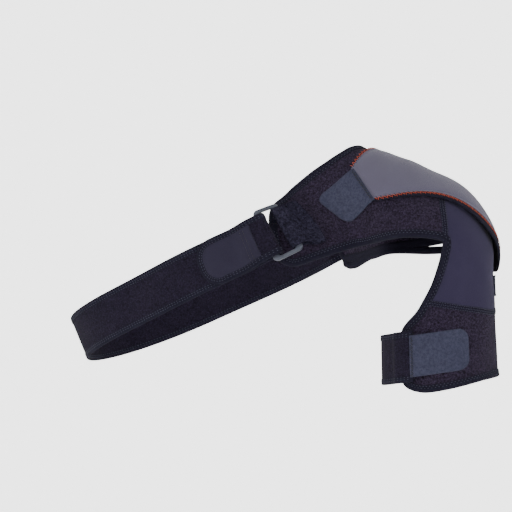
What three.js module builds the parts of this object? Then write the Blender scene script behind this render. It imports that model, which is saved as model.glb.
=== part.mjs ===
import * as THREE from "three";
import { mergeVertices } from "three/addons/utils/BufferGeometryUtils.js";

// Shoulder brace for the right shoulder in the shape it has when worn, in millimetres.
// The origin is on the inner face at the top of the shoulder cup.
// +X runs outwards along the shoulder, +Y to the front and +Z up.

// Spans that the tables are shares of
const REACH = 190;
const DEPTH = 102;
const DROP = 200;

// Drop that puts the inner face at the top of the cup on the origin
const SEAT_DROP = 6.9;

// Sheet thicknesses and clearances
const CLEAR = 0.42;
const PANEL_THICK = 2.6;
const TAPE_THICK = 0.6;
const TAPE_GAP = 1.05;
const SEAM_GAP = 0.6;
const TAPE_WIDTH = 5.8;
const TAPE_START_SHARE = 0.08;
const FLAP_THICK = 2.4;
const COVER_THICK = 1.0;
const TAB_THICK = 1.5;
const PATCH_THICK = 1.2;
const STRAP_THICK = 2.0;
const STRAP_EDGE_THICK = 3.0;
const PULL_THICK = 1.6;
const PAD_THICK = 0.6;

// Plan sizes
const STRAP_WIDTH = 45;
const STRAP_EDGE_WIDTH = 6;
const STRAP_FOLD_LENGTH = 70;
const STRAP_TIP_RADIUS = 19;
const STRAP_SEWN_LENGTH = 40;
const PULL_WIDTH = 46;
const PULL_LENGTH = 25;
const RING_LENGTH = 56;
const RING_WIDTH = 26;
const RING_BAR = 5.5;
const RING_END = 4;
const RING_SLACK = 1.5;
const BAR_SQUARENESS = 0.7;
const RING_THICK = 3;
const RING_CORNER = 5;
const ARM_STRAP_WIDTH = 48;
const TAB_CORNER = 10.5;
const FLAP_LIFT = 3.5;
const FLAP_TRIM = 0.07;
const TAB_FALL = 0.45;
const TAB_WIDTH_SHARES = [0.02, 0.93];
const STRAP_FALL = 30;
const PULL_FALL = 14;
const SEWN_RISE = 12;
const PAD_MARGIN = 1;

// Heights over the fitting form, worked up from the inner side
const TAPE_LOW = CLEAR;
const PANEL_LOW = TAPE_LOW + TAPE_THICK + TAPE_GAP;
const PANEL_TOP = PANEL_LOW + PANEL_THICK;
const TAPE_TOP = PANEL_TOP + TAPE_GAP + TAPE_THICK;
const FLAP_LOW = PANEL_TOP + 2 * CLEAR;
const FLAP_TOP = FLAP_LOW + FLAP_THICK;
const COVER_LOW = FLAP_TOP + CLEAR;
const TAB_LOW = PANEL_TOP + CLEAR;
const STRAP_REST = CLEAR + STRAP_EDGE_THICK / 2;
const STRAP_OVER_TAPE = TAPE_TOP + CLEAR + STRAP_EDGE_THICK / 2;
const PULL_REST = TAPE_TOP + CLEAR + PULL_THICK / 2;
const BAR_MIDDLE = STRAP_OVER_TAPE + STRAP_EDGE_THICK / 2 + CLEAR + RING_THICK / 2;

// Fitting form that the cloth is laid over; it is not built.
// Each egg has its middle and its half sizes, each limb its two ends and end radii.
const EGGS = {
  chest: { at: [-1, 0.04, -0.935], half: [0.716, 1, 1.125] },
  flank: { at: [-1.526, 0.02, -0.575], half: [0.426, 0.804, 0.48] },
  girdle: { at: [-1, -0.118, -0.375], half: [0.832, 0.824, 0.31] },
  shoulder: { at: [0.047, 0, -0.298], half: [0.247, 0.549, 0.2725] },
};
const LIMBS = {
  neck: { from: [-1, 0.157, 0.015], to: [-1, 0.412, 0.715], radii: [0.51, 0.549] },
  slope: { from: [-0.674, -0.059, 0.108], to: [-0.147, -0.059, -0.134], radii: [0.294, 0.392] },
  arm: { from: [0.095, -0.02, -0.385], to: [0.126, 0.02, -1.335], radii: [0.49, 0.52] },
};
const BLENDS = { girdle: 0.49, neck: 0.588, flank: 0.49, slope: 0.49, arm: 0.294, side: 0.333 };

// Outlines on the form as rows of across, deep and up
const NECK_EDGE_BACK = [
  [-0.61, -0.58, -0.085],
  [-0.573, -0.5, -0.035],
  [-0.485, -0.42, 0.025],
  [-0.42, -0.35, 0.06],
  [-0.36, -0.25, 0.095],
];
const NECK_EDGE_TOP = [
  [-0.36, -0.25, 0.095],
  [-0.325, -0.03, 0.115],
  [-0.375, 0.18, 0.11],
];
const NECK_EDGE_FRONT = [
  [-0.375, 0.18, 0.11],
  [-0.42, 0.3, 0.075],
  [-0.485, 0.42, 0.025],
  [-0.56, 0.54, -0.045],
  [-0.61, 0.58, -0.085],
];
const LOW_EDGE_BACK = [
  [-0.548, -0.85, -0.395],
  [-0.5, -0.82, -0.412],
  [-0.42, -0.753, -0.385],
  [-0.314, -0.627, -0.347],
  [-0.202, -0.522, -0.312],
  [-0.089, -0.552, -0.29],
  [0.052, -0.595, -0.27],
  [0.151, -0.566, -0.272],
  [0.236, -0.476, -0.288],
];
const SHOULDER_SEAM = [
  [0.236, -0.476, -0.288],
  [0.19, -0.335, -0.111],
  [0.163, -0.17, -0.045],
  [0.158, 0, -0.03],
  [0.163, 0.17, -0.045],
  [0.19, 0.335, -0.111],
  [0.236, 0.476, -0.288],
];
const WING_END = [
  [-0.548, -0.85, -0.395],
  [-0.575, -0.85, -0.36],
  [-0.615, -0.8, -0.27],
  [-0.645, -0.72, -0.18],
  [-0.64, -0.66, -0.125],
  [-0.61, -0.58, -0.085],
];
const ARMHOLE_HIGH = [
  [0.236, -0.476, -0.288],
  [0.232, -0.5, -0.34],
  [0.213, -0.51, -0.41],
  [0.184, -0.522, -0.499],
  [0.14, -0.535, -0.58],
];
const ARMHOLE_LOW = [
  [0.14, -0.535, -0.58],
  [0.11, -0.535, -0.63],
  [0.031, -0.518, -0.712],
  [0.02, -0.51, -0.8],
  [0.02, -0.51, -0.93],
  [0.045, -0.52, -0.975],
];
const CUFF_SEAM = [
  [0.14, -0.535, -0.58],
  [0.185, -0.514, -0.585],
  [0.279, -0.422, -0.602],
  [0.352, -0.258, -0.618],
  [0.386, -0.015, -0.634],
  [0.352, 0.258, -0.625],
  [0.279, 0.422, -0.605],
  [0.185, 0.514, -0.587],
  [0.14, 0.535, -0.58],
];
const CUFF_HEM = [
  [0.045, -0.52, -0.975],
  [0.12, -0.532, -0.997],
  [0.261, -0.459, -0.977],
  [0.357, -0.282, -0.95],
  [0.401, 0.025, -0.931],
  [0.357, 0.282, -0.945],
  [0.261, 0.459, -0.97],
  [0.12, 0.532, -0.992],
  [0.045, 0.52, -0.972],
];
const FLAP_OUTER = [
  [-0.121, -0.51, -0.108],
  [-0.026, -0.495, -0.094],
  [0.045, -0.47, -0.088],
  [0.147, -0.397, -0.092],
  [0.216, -0.319, -0.114],
  [0.284, -0.211, -0.16],
  [0.345, -0.088, -0.24],
  [0.368, 0.069, -0.335],
  [0.348, 0.25, -0.435],
  [0.29, 0.4, -0.44],
  [0.22, 0.49, -0.35],
  [0.15, 0.53, -0.26],
  [0.06, 0.53, -0.19],
  [-0.03, 0.52, -0.145],
  [-0.121, 0.49, -0.125],
];
const FLAP_INNER = [
  [-0.28, -0.37, 0.036],
  [-0.27, -0.24, 0.086],
  [-0.26, 0, 0.1],
  [-0.27, 0.22, 0.08],
  [-0.28, 0.36, 0.025],
];
const TAB_TIP = [
  [-0.272, -0.57, -0.213],
  [-0.458, -0.54, -0.085],
];

// The chest strap lies on a band tilted about the middle of the chest
const STRAP_TILT = 23.6;
const STRAP_MIDDLE = [-1, 0, -0.445];
const RING_TURN = -43.5;
const STRAP_END_TURN = 28;

// The arm strap, its tab and the side patch are laid round the arm by turn and height
const ARM_TILT = 0.17;
const ARM_STRAP_RISE = -0.828;
const ARM_STRAP_TURNS = [84, 267];
const ARM_CUFF_TURNS = [29, 30];
const ARM_STRAP_FALL = 12;
const ARM_TAB_TURNS = [268, 322];
const ARM_TAB_HALF = [19, 20];
const SIDE_PATCH_TURNS = [14, 62];
const SIDE_PATCH_RISES = [-0.5, -0.6];

// Grid counts
const WING_COUNT = 16;
const TOP_COUNT = 20;
const ARMHOLE_HIGH_COUNT = 7;
const ARMHOLE_LOW_COUNT = 11;
const WING_ROWS = 12;
const FLAP_COUNT = 22;
const FLAP_ROWS = 11;
const EVEN_PASSES = 24;
const STRAP_STEP = 9;
const ARM_STEP = 7;
const TAB_STEPS = 4;

// Passes and steps of the searches on the form
const SETTLE_PASSES = 8;
const CAST_REACH = 2.2;
const CAST_PASSES = 90;
const CAST_STEP = 0.8;
const BAND_STEPS = 180;
const BAND_LEAD = 40;
const BAND_TRAIL = 20;

const spans = [REACH, DEPTH, DROP];
const fromShares = (row) => row.map((share, axis) => share * spans[axis]);
const placeOf = ([across, deep, up]) => [across * REACH, deep * DEPTH, riseOf(up)];
const riseOf = (up) => up * DROP - SEAT_DROP;
const mirrorRows = (rows) => rows.map(([across, deep, up]) => [across, -deep, up]);
const mix = (a, b, share) => a + (b - a) * share;
const clamp = (value) => Math.min(Math.max(value, 0), 1);
const ease = (value) => clamp(value) ** 2 * (3 - 2 * clamp(value));
const radians = THREE.MathUtils.degToRad;

// Distance from a point to an egg, to a limb, and the soft union of two distances
function eggDistance(point, egg) {
  const at = placeOf(egg.at);
  const half = fromShares(egg.half);
  const scaled = point.map((value, axis) => (value - at[axis]) / half[axis]);
  const near = Math.hypot(...scaled);
  const slope = Math.hypot(...scaled.map((value, axis) => value / half[axis]));
  return near * (near - 1) / Math.max(slope, 1e-9);
}

function limbDistance(point, limb) {
  const from = placeOf(limb.from);
  const to = placeOf(limb.to);
  const run = to.map((value, axis) => value - from[axis]);
  const rel = point.map((value, axis) => value - from[axis]);
  const dot = rel[0] * run[0] + rel[1] * run[1] + rel[2] * run[2];
  const share = clamp(dot / (run[0] ** 2 + run[1] ** 2 + run[2] ** 2));
  const off = rel.map((value, axis) => value - run[axis] * share);
  return Math.hypot(...off) - DEPTH * mix(limb.radii[0], limb.radii[1], share);
}

function blend(a, b, share) {
  const width = share * DEPTH;
  const near = Math.max(width - Math.abs(a - b), 0) / width;
  return Math.min(a, b) - near ** 3 * width / 6;
}

function armDistance(point) {
  return blend(eggDistance(point, EGGS.shoulder), limbDistance(point, LIMBS.arm), BLENDS.arm);
}

function chestDistance(point) {
  let gap = eggDistance(point, EGGS.chest);
  gap = blend(gap, eggDistance(point, EGGS.girdle), BLENDS.girdle);
  gap = blend(gap, limbDistance(point, LIMBS.neck), BLENDS.neck);
  gap = blend(gap, eggDistance(point, EGGS.flank), BLENDS.flank);
  return blend(gap, limbDistance(point, LIMBS.slope), BLENDS.slope);
}

function formDistance(point) {
  return blend(chestDistance(point), armDistance(point), BLENDS.side);
}

// Outward direction and slope of a distance at a point
function outward(point, distance) {
  const step = 0.5;
  const slope = [0, 1, 2].map((axis) => {
    const ahead = [...point];
    const behind = [...point];
    ahead[axis] += step;
    behind[axis] -= step;
    return (distance(ahead) - distance(behind)) / (2 * step);
  });
  const size = Math.hypot(...slope);
  return { normal: slope.map((value) => value / size), size };
}

// A guessed point moved onto the form, with the outward normal there
function settle(guess, passes = SETTLE_PASSES, distance = formDistance) {
  let point = [...guess];
  for (let pass = 0; pass < passes; pass += 1) {
    const { normal, size } = outward(point, distance);
    const move = distance(point) / size;
    point = point.map((value, axis) => value - normal[axis] * move);
  }
  return { point, normal: outward(point, distance).normal };
}

// The first point of the form met when coming inwards along a ray
function cast(origin, direction, distance) {
  let reach = CAST_REACH * REACH;
  for (let pass = 0; pass < CAST_PASSES; pass += 1) {
    const point = origin.map((value, axis) => value + direction[axis] * reach);
    reach -= CAST_STEP * distance(point);
  }
  const point = origin.map((value, axis) => value + direction[axis] * reach);
  return { point, normal: outward(point, distance).normal };
}

function lift(seat, height) {
  return seat.point.map((value, axis) => value + seat.normal[axis] * height);
}

// Evenly spaced points along a smooth curve through rows of shares
function trace(rows, count) {
  const places = rows.map((row) => new THREE.Vector3(...settle(placeOf(row)).point));
  const curve = new THREE.CatmullRomCurve3(places, false, "centripetal");
  curve.arcLengthDivisions = 400;
  return curve.getSpacedPoints(count).map((place) => place.toArray());
}

const joined = (...runs) => runs.reduce((all, run) => [...all, ...run.slice(1)]);

// Cells of a broad face split mirrored about its middle column, alike on both faces,
// so that stacked sheets stay parallel
function splitFace(box, side, columns, turned) {
  const order = box.index.array;
  const { start, count } = box.groups[side];
  for (let cell = 0; cell < count / 6; cell += 1) {
    const at = start + 6 * cell;
    const across = cell % columns;
    const column = turned ? columns - 1 - across : across;
    const [first, second, fourth, , third] = order.slice(at, at + 6);
    if (column >= columns / 2 !== turned) {
      order.set([first, second, third, first, third, fourth], at);
    }
  }
}

// A box with its corner points moved one by one and its faces turned outwards
function bend(counts, move) {
  const box = new THREE.BoxGeometry(1, 1, 1, counts[0], counts[1], 1);
  splitFace(box, 4, counts[0], false);
  splitFace(box, 5, counts[0], true);
  box.deleteAttribute("normal");
  box.deleteAttribute("uv");
  const geometry = mergeVertices(box);
  const position = geometry.attributes.position;
  for (let index = 0; index < position.count; index += 1) {
    const column = Math.round((position.getX(index) + 0.5) * counts[0]);
    const row = Math.round((position.getY(index) + 0.5) * counts[1]);
    const side = position.getZ(index) + 0.5;
    position.setXYZ(index, ...move(column, row, side));
  }
  return facedOut(geometry);
}

function facedOut(geometry) {
  const corners = [new THREE.Vector3(), new THREE.Vector3(), new THREE.Vector3()];
  const order = geometry.index.array;
  let volume = 0;
  for (let index = 0; index < order.length; index += 3) {
    corners.forEach((corner, turn) => {
      corner.fromBufferAttribute(geometry.attributes.position, order[index + turn]);
    });
    volume += corners[0].dot(corners[1].cross(corners[2]));
  }
  if (volume < 0) {
    for (let index = 0; index < order.length; index += 3) {
      const kept = order[index + 1];
      order[index + 1] = order[index + 2];
      order[index + 2] = kept;
    }
  }
  geometry.computeVertexNormals();
  return geometry;
}

// Points inside four edges; low and high run the same way, and so do start and end
function patch(low, high, start, end) {
  const last = low.length - 1;
  const along = (run, share) => {
    const place = clamp(share) * (run.length - 1);
    const from = Math.min(Math.floor(place), run.length - 2);
    return run[from].map((value, axis) => mix(value, run[from + 1][axis], place - from));
  };
  return (column, share) => {
    const turn = column / last;
    const left = along(start, share);
    const right = along(end, share);
    const lowPoint = along(low, turn);
    const highPoint = along(high, turn);
    return [0, 1, 2].map((axis) => {
      const across = mix(lowPoint[axis], highPoint[axis], share);
      const round = mix(left[axis], right[axis], turn);
      const flatLow = mix(low[0][axis], low[last][axis], turn);
      const flatHigh = mix(high[0][axis], high[last][axis], turn);
      return across + round - mix(flatLow, flatHigh, share);
    });
  };
}

// The same patch with its cells evened out on the form
function evened(grid, columns, rows) {
  const seats = [];
  for (let column = 0; column <= columns; column += 1) {
    seats.push([]);
    for (let row = 0; row <= rows; row += 1) {
      seats[column].push(settle(grid(column, row / rows)).point);
    }
  }
  for (let pass = 0; pass < EVEN_PASSES; pass += 1) {
    for (let column = 1; column < columns; column += 1) {
      for (let row = 1; row < rows; row += 1) {
        const [left, right] = [seats[column - 1][row], seats[column + 1][row]];
        const [under, over] = [seats[column][row - 1], seats[column][row + 1]];
        const middle = left.map((value, axis) => {
          return (value + right[axis] + under[axis] + over[axis]) / 4;
        });
        seats[column][row] = settle(middle, 1).point;
      }
    }
  }
  return (column, share) => {
    const from = Math.min(Math.floor(share * rows), rows - 1);
    return seats[column][from].map((value, axis) => {
      return mix(value, seats[column][from + 1][axis], share * rows - from);
    });
  };
}

// A sheet laid on the form at a height, its rows at the given shares of the patch
function layer(grid, columns, shares, low, thick, rise = () => 0) {
  return bend([columns, shares.length - 1], (column, row, side) => {
    const seat = settle(grid(column, shares[row]));
    return lift(seat, low + side * thick + rise(column, shares[row]));
  });
}

const evenShares = (rows, from, to) => {
  return Array.from({ length: rows + 1 }, (unused, row) => mix(from, to, row / rows));
};

// Edges of the body panels
const neckEdge = joined(
  trace(NECK_EDGE_BACK, WING_COUNT),
  trace(NECK_EDGE_TOP, TOP_COUNT),
  trace(NECK_EDGE_FRONT, WING_COUNT),
);
const lowEdgeBack = trace(LOW_EDGE_BACK, WING_COUNT);
const lowEdgeFront = trace(mirrorRows(LOW_EDGE_BACK), WING_COUNT).reverse();
const shoulderSeam = trace(SHOULDER_SEAM, TOP_COUNT);
const wingEndBack = trace(WING_END, WING_ROWS);
const wingEndFront = trace(mirrorRows(WING_END), WING_ROWS);
const highBack = trace(ARMHOLE_HIGH, ARMHOLE_HIGH_COUNT);
const highFront = trace(mirrorRows(ARMHOLE_HIGH), ARMHOLE_HIGH_COUNT);
const lowBack = trace(ARMHOLE_LOW, ARMHOLE_LOW_COUNT);
const lowFront = trace(mirrorRows(ARMHOLE_LOW), ARMHOLE_LOW_COUNT);
const cuffSeam = trace(CUFF_SEAM, TOP_COUNT);
const cuffHem = trace(CUFF_HEM, TOP_COUNT);

// Share of a row's length that half a seam gap takes up
const runLength = (run) => run.slice(1).reduce((sum, place, index) => {
  return sum + Math.hypot(...place.map((value, axis) => value - run[index][axis]));
}, 0);
const seamShare = (run) => SEAM_GAP / 2 / runLength(run);

const lowEdge = joined(lowEdgeBack, shoulderSeam, lowEdgeFront);
const bodyCount = 2 * WING_COUNT + TOP_COUNT;
const bodyPatch = patch(lowEdge, neckEdge, wingEndBack, wingEndFront);
const bodyPanel = layer(
  evened(bodyPatch, bodyCount, WING_ROWS),
  bodyCount,
  evenShares(WING_ROWS, seamShare(wingEndBack), 1),
  PANEL_LOW,
  PANEL_THICK,
);

const shoulderPatch = patch(shoulderSeam, cuffSeam, highBack, highFront);
const shoulderPanel = layer(
  evened(shoulderPatch, TOP_COUNT, ARMHOLE_HIGH_COUNT),
  TOP_COUNT,
  evenShares(ARMHOLE_HIGH_COUNT, seamShare(highBack), 1 - seamShare(highBack)),
  PANEL_LOW,
  PANEL_THICK,
);

const cuffPatch = patch(cuffSeam, cuffHem, lowBack, lowFront);
const cuffPanel = layer(
  evened(cuffPatch, TOP_COUNT, ARMHOLE_LOW_COUNT),
  TOP_COUNT,
  evenShares(ARMHOLE_LOW_COUNT, seamShare(lowBack), 1),
  PANEL_LOW,
  PANEL_THICK,
);

// Tape folded over an edge: rows of distance in from the edge and height, outer then inner
const tapeOut = TAPE_GAP + TAPE_THICK;
const TAPE_SECTION = [
  [[TAPE_WIDTH, TAPE_LOW], [TAPE_WIDTH, TAPE_LOW + TAPE_THICK]],
  [[-tapeOut / 2, TAPE_LOW], [-TAPE_GAP, TAPE_LOW + TAPE_THICK]],
  [[-tapeOut, (TAPE_LOW + TAPE_TOP) / 2], [-TAPE_GAP, (TAPE_LOW + TAPE_TOP) / 2]],
  [[-tapeOut / 2, TAPE_TOP], [-TAPE_GAP, TAPE_TOP - TAPE_THICK]],
  [[TAPE_WIDTH, TAPE_TOP], [TAPE_WIDTH, TAPE_TOP - TAPE_THICK]],
];

function edgeTape(run) {
  const last = run.length - 1;
  const frames = run.map((place, index) => {
    const before = run[Math.max(index - 1, 0)];
    const after = run[Math.min(index + 1, last)];
    const seat = settle(place);
    const tangent = new THREE.Vector3(...after).sub(new THREE.Vector3(...before)).normalize();
    const inward = tangent.cross(new THREE.Vector3(...seat.normal)).normalize().toArray();
    return { place: seat.point, inward };
  });
  return bend([last, TAPE_SECTION.length - 1], (column, row, side) => {
    const { place, inward } = frames[column];
    const [into, height] = TAPE_SECTION[row][side > 0.5 ? 0 : 1];
    const seat = settle(place.map((value, axis) => value + inward[axis] * into));
    return lift(seat, height);
  });
}

// The tape starts and ends at the middle of the back wing's end, where the strap hides it
const middleRow = WING_ROWS / 2;
const outline = joined(
  wingEndBack.slice(middleRow),
  neckEdge,
  [...wingEndFront].reverse(),
  [...lowEdgeFront].reverse(),
  highFront,
  lowFront,
  [...cuffHem].reverse(),
  [...lowBack].reverse(),
  [...highBack].reverse(),
  [...lowEdgeBack].reverse(),
  wingEndBack.slice(0, middleRow + 1),
);
outline[0] = outline[0].map((value, axis) => mix(value, outline[1][axis], TAPE_START_SHARE));
const edgeBinding = edgeTape(outline);

// Flap over the top of the shoulder and the cover sewn on it
const flapOuter = trace(FLAP_OUTER, FLAP_COUNT);
const flapInner = trace(FLAP_INNER, FLAP_COUNT);
const flapBackEnd = trace([FLAP_OUTER[0], FLAP_INNER[0]], 1);
const flapFrontEnd = trace([FLAP_OUTER.at(-1), FLAP_INNER.at(-1)], 1);
const flapPatch = patch(flapOuter, flapInner, flapBackEnd, flapFrontEnd);
const flapGrid = evened(flapPatch, FLAP_COUNT, FLAP_ROWS);
const flapRise = (column, share) => {
  const round = Math.sin(Math.PI * column / FLAP_COUNT) ** 2;
  return FLAP_LIFT * round * (1 - share) ** 3;
};
const flapShares = [0, FLAP_TRIM, ...evenShares(FLAP_ROWS, 0, 1).slice(1, -1), 1 - FLAP_TRIM / 2, 1];
const flapBase = layer(flapGrid, FLAP_COUNT, flapShares, FLAP_LOW, FLAP_THICK, flapRise);
const coverShares = flapShares.slice(1, -1);
const flapCover = layer(flapGrid, FLAP_COUNT, coverShares, COVER_LOW, COVER_THICK, flapRise);

// Rows of a rounded end: distance from the tip and the width left there
function roundedRows(length, width, radius, steps) {
  const rows = [];
  for (let step = 0; step <= TAB_STEPS; step += 1) {
    const turn = radians(90 * step / TAB_STEPS);
    const away = radius * (1 - Math.cos(turn));
    rows.push([length - away, width / 2 - radius + radius * Math.sin(turn)]);
  }
  for (let step = 1; step <= steps; step += 1) {
    rows.push([mix(length - radius, 0, step / steps), width / 2]);
  }
  return rows.reverse();
}

// Tab from a flap end: flat on the wing at its tip and up at the flap where it is sewn
function flapTab(endRows, tipRows) {
  const end = endRows.map((row) => settle(placeOf(row)).point);
  const tip = tipRows.map((row) => settle(placeOf(row)).point);
  const between = (run, share) => run[0].map((value, axis) => mix(value, run[1][axis], share));
  const near = TAB_WIDTH_SHARES.map((share) => between(end, share));
  const width = runLength(near);
  const length = runLength([near[0], tip[0]]);
  const rows = roundedRows(length, width, TAB_CORNER, TAB_STEPS);
  return bend([TAB_STEPS + 2, rows.length - 1], (column, row, side) => {
    const [reach, half] = rows[row];
    const across = 0.5 + (column / (TAB_STEPS + 2) - 0.5) * 2 * half / width;
    const down = mix(2 * CLEAR / length, 1, reach / length);
    const guess = between([between(near, across), between(tip, across)], down);
    const drop = ease(reach / (TAB_FALL * length));
    const low = mix(FLAP_TOP - TAB_THICK / 2, TAB_LOW, drop);
    return lift(settle(guess), low + side * TAB_THICK);
  });
}
const flapTabBack = flapTab([FLAP_OUTER[0], FLAP_INNER[0]], TAB_TIP);
const flapTabFront = flapTab([FLAP_OUTER.at(-1), FLAP_INNER.at(-1)], mirrorRows(TAB_TIP));

// The strap band: a place by distance along from the ring bar, offset across, and height
const bandMiddle = placeOf(STRAP_MIDDLE);
const bandTilt = radians(STRAP_TILT);
const bandAxis = [-Math.sin(bandTilt), 0, Math.cos(bandTilt)];

function bandSeat(turn, across) {
  const angle = radians(turn);
  const origin = bandMiddle.map((value, axis) => value + bandAxis[axis] * across);
  const level = Math.cos(angle);
  const ray = [level * Math.cos(bandTilt), Math.sin(angle), level * Math.sin(bandTilt)];
  return cast(origin, ray, chestDistance);
}

// The band is flat across unless it follows the form
function bandFrame(turn) {
  const seat = bandSeat(turn, 0);
  const high = bandSeat(turn, STRAP_WIDTH / 2).point;
  const low = bandSeat(turn, -STRAP_WIDTH / 2).point;
  const across = new THREE.Vector3(...high).sub(new THREE.Vector3(...low)).normalize();
  const normal = new THREE.Vector3(...seat.normal);
  normal.addScaledVector(across, -normal.dot(across)).normalize();
  return { point: seat.point, normal: normal.toArray(), across: across.toArray() };
}

// Turn for a distance along the middle of the band, going round from the ring to the front
const bandTable = [];
const BAND_START = RING_TURN + BAND_LEAD;
const BAND_SPAN = 360 + BAND_START - STRAP_END_TURN + BAND_TRAIL;
for (let step = 0; step <= BAND_STEPS; step += 1) {
  const turn = BAND_START - BAND_SPAN * step / BAND_STEPS;
  const point = bandSeat(turn, 0).point;
  const before = bandTable.at(-1);
  const run = before ? before.run + runLength([before.point, point]) : 0;
  bandTable.push({ turn, point, run });
}
const runAtTurn = (turn) => {
  const step = (BAND_START - turn) / BAND_SPAN * BAND_STEPS;
  const from = Math.floor(step);
  return mix(bandTable[from].run, bandTable[from + 1].run, step - from);
};
const barRun = runAtTurn(RING_TURN) + (RING_WIDTH - RING_BAR) / 2;
const endRun = runAtTurn(STRAP_END_TURN - 360) - barRun;

const bandFrames = new Map();
function bandPoint(along, across, height, follow = 0) {
  const run = along + barRun;
  const step = Math.max(bandTable.findIndex((row) => row.run >= run), 1);
  const [low, high] = [bandTable[step - 1], bandTable[step]];
  const turn = mix(low.turn, high.turn, (run - low.run) / (high.run - low.run));
  if (!bandFrames.has(turn)) bandFrames.set(turn, bandFrame(turn));
  const frame = bandFrames.get(turn);
  const flat = frame.point.map((value, axis) => {
    return value + frame.across[axis] * across + frame.normal[axis] * height;
  });
  if (follow === 0) return flat;
  const laid = lift(bandSeat(turn, across), height);
  return flat.map((value, axis) => mix(value, laid[axis], follow));
}

// Ring of two long bars and two short ones, its left bar on the strap and right bar on the pull
function roundedFrame(length, width, corner, points) {
  const path = [];
  const turns = [[1, 1, 0], [-1, 1, 90], [-1, -1, 180], [1, -1, 270]];
  turns.forEach(([endways, sideways, start], index) => {
    const middle = [endways * (width / 2 - corner), sideways * (length / 2 - corner)];
    for (let step = 0; step <= 2; step += 1) {
      const angle = radians(start + 45 * step);
      path.push([middle[0] + corner * Math.cos(angle), middle[1] + corner * Math.sin(angle)]);
    }
    const straight = index % 2 === 0 ? width / 2 - corner : length / 2 - corner;
    const from = path.at(-1);
    const heading = radians(start + 180);
    for (let step = 1; step < points[index % 2]; step += 1) {
      const walk = 2 * straight * step / points[index % 2];
      path.push([from[0] + walk * Math.cos(heading), from[1] + walk * Math.sin(heading)]);
    }
  });
  return path.map(([x, y]) => new THREE.Vector2(x, y));
}

function ringGeometry() {
  const bevel = RING_THICK / 4;
  const outer = roundedFrame(RING_LENGTH - 2 * bevel, RING_WIDTH - 2 * bevel, RING_CORNER, [2, 4]);
  const slotLength = RING_LENGTH - 2 * RING_END + 2 * bevel;
  const slotWidth = RING_WIDTH - 2 * RING_BAR + 2 * bevel;
  const inner = roundedFrame(slotLength, slotWidth, RING_CORNER / 2, [2, 4]);
  const shape = new THREE.Shape(outer);
  shape.holes.push(new THREE.Path(inner));
  const solid = new THREE.ExtrudeGeometry(shape, {
    depth: RING_THICK - 2 * bevel,
    bevelEnabled: true,
    bevelThickness: bevel,
    bevelSize: bevel,
    bevelSegments: 1,
    curveSegments: 1,
  });
  solid.deleteAttribute("normal");
  solid.deleteAttribute("uv");
  const geometry = mergeVertices(solid, 1e-3);
  const position = geometry.attributes.position;
  const ringAlong = -(RING_WIDTH - RING_BAR) / 2;
  const ringLow = BAR_MIDDLE - RING_THICK / 2 + bevel;
  for (let index = 0; index < position.count; index += 1) {
    const along = ringAlong + position.getX(index);
    const height = ringLow + position.getZ(index);
    position.setXYZ(index, ...bandPoint(along, position.getY(index), height));
  }
  return facedOut(geometry);
}
const ring = ringGeometry();

// Path of a strap seen edge on: rows of distance along and height, with its own normals
function pathFrames(rows) {
  return rows.map((row, index) => {
    const before = rows[Math.max(index - 1, 0)];
    const after = rows[Math.min(index + 1, rows.length - 1)];
    const size = Math.hypot(after[0] - before[0], after[1] - before[1]);
    const normal = [-(after[1] - before[1]) / size, (after[0] - before[0]) / size];
    return { along: row[0], height: row[1], normal };
  });
}

// Half turn of a strap round a bar at a given distance along; way is the side it bulges to
function barTurn(barAlong, way, thick) {
  const rise = RING_THICK / 2 + CLEAR + thick / 2;
  const reach = RING_BAR / 2 + RING_SLACK + thick / 2;
  const rows = [];
  for (let step = 0; step <= 8; step += 1) {
    const angle = radians(-90 + 180 * step / 8);
    const [out, up] = [Math.cos(angle), Math.sin(angle)].map((value) => {
      return Math.sign(value) * Math.abs(value) ** BAR_SQUARENESS;
    });
    rows.push([barAlong + way * reach * out, BAR_MIDDLE + rise * up]);
  }
  return rows;
}

// Half of a strap's thickness by offset across: thicker where its edges are bound
const strapHalf = STRAP_WIDTH / 2;
const strapCore = strapHalf - STRAP_EDGE_WIDTH;
const STRAP_COLUMNS = [[-1, 1], [-strapCore / strapHalf, 0], [strapCore / strapHalf, 0], [1, 1]];
const halfThick = (edge) => mix(STRAP_THICK, STRAP_EDGE_THICK, edge) / 2;

function strapSolid(frames, halfWidth, place) {
  return bend([frames.length - 1, STRAP_COLUMNS.length - 1], (index, column, side) => {
    const { along, height, normal } = frames[index];
    const [share, edge] = STRAP_COLUMNS[column];
    const out = (side - 0.5) * 2 * halfThick(edge);
    const across = share * halfWidth(index);
    return place(along + normal[0] * out, across, height + normal[1] * out);
  });
}

// Chest strap from its sewn front end round the body, through the ring and back over itself
const foldedRise = STRAP_EDGE_THICK + CLEAR;
const strapHeight = (along) => {
  const nearRing = 1 - ease((along - RING_BAR) / STRAP_FALL);
  const nearEnd = ease((along - (endRun - STRAP_SEWN_LENGTH - SEWN_RISE)) / SEWN_RISE);
  return mix(STRAP_REST, STRAP_OVER_TAPE, Math.max(nearRing, nearEnd));
};
const overBar = (thick) => BAR_MIDDLE + RING_THICK / 2 + CLEAR + thick / 2;
const strapRows = [];
const longCount = Math.round(endRun / STRAP_STEP);
for (let step = 0; step <= longCount; step += 1) {
  const along = mix(endRun, RING_BAR, step / longCount);
  strapRows.push([along, strapHeight(along)]);
}
strapRows.push(...barTurn(0, -1, STRAP_EDGE_THICK));
const tipRows = roundedRows(STRAP_FOLD_LENGTH, STRAP_WIDTH, STRAP_TIP_RADIUS, 7);
const foldHalves = [];
tipRows.forEach(([along, half]) => {
  if (along < RING_BAR) return;
  const seated = strapHeight(along) + foldedRise;
  strapRows.push([along, mix(overBar(STRAP_EDGE_THICK), seated, ease(along / STRAP_FALL))]);
  foldHalves.push(half);
});
const strapFrames = pathFrames(strapRows);
const firstFold = strapRows.length - foldHalves.length;
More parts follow.
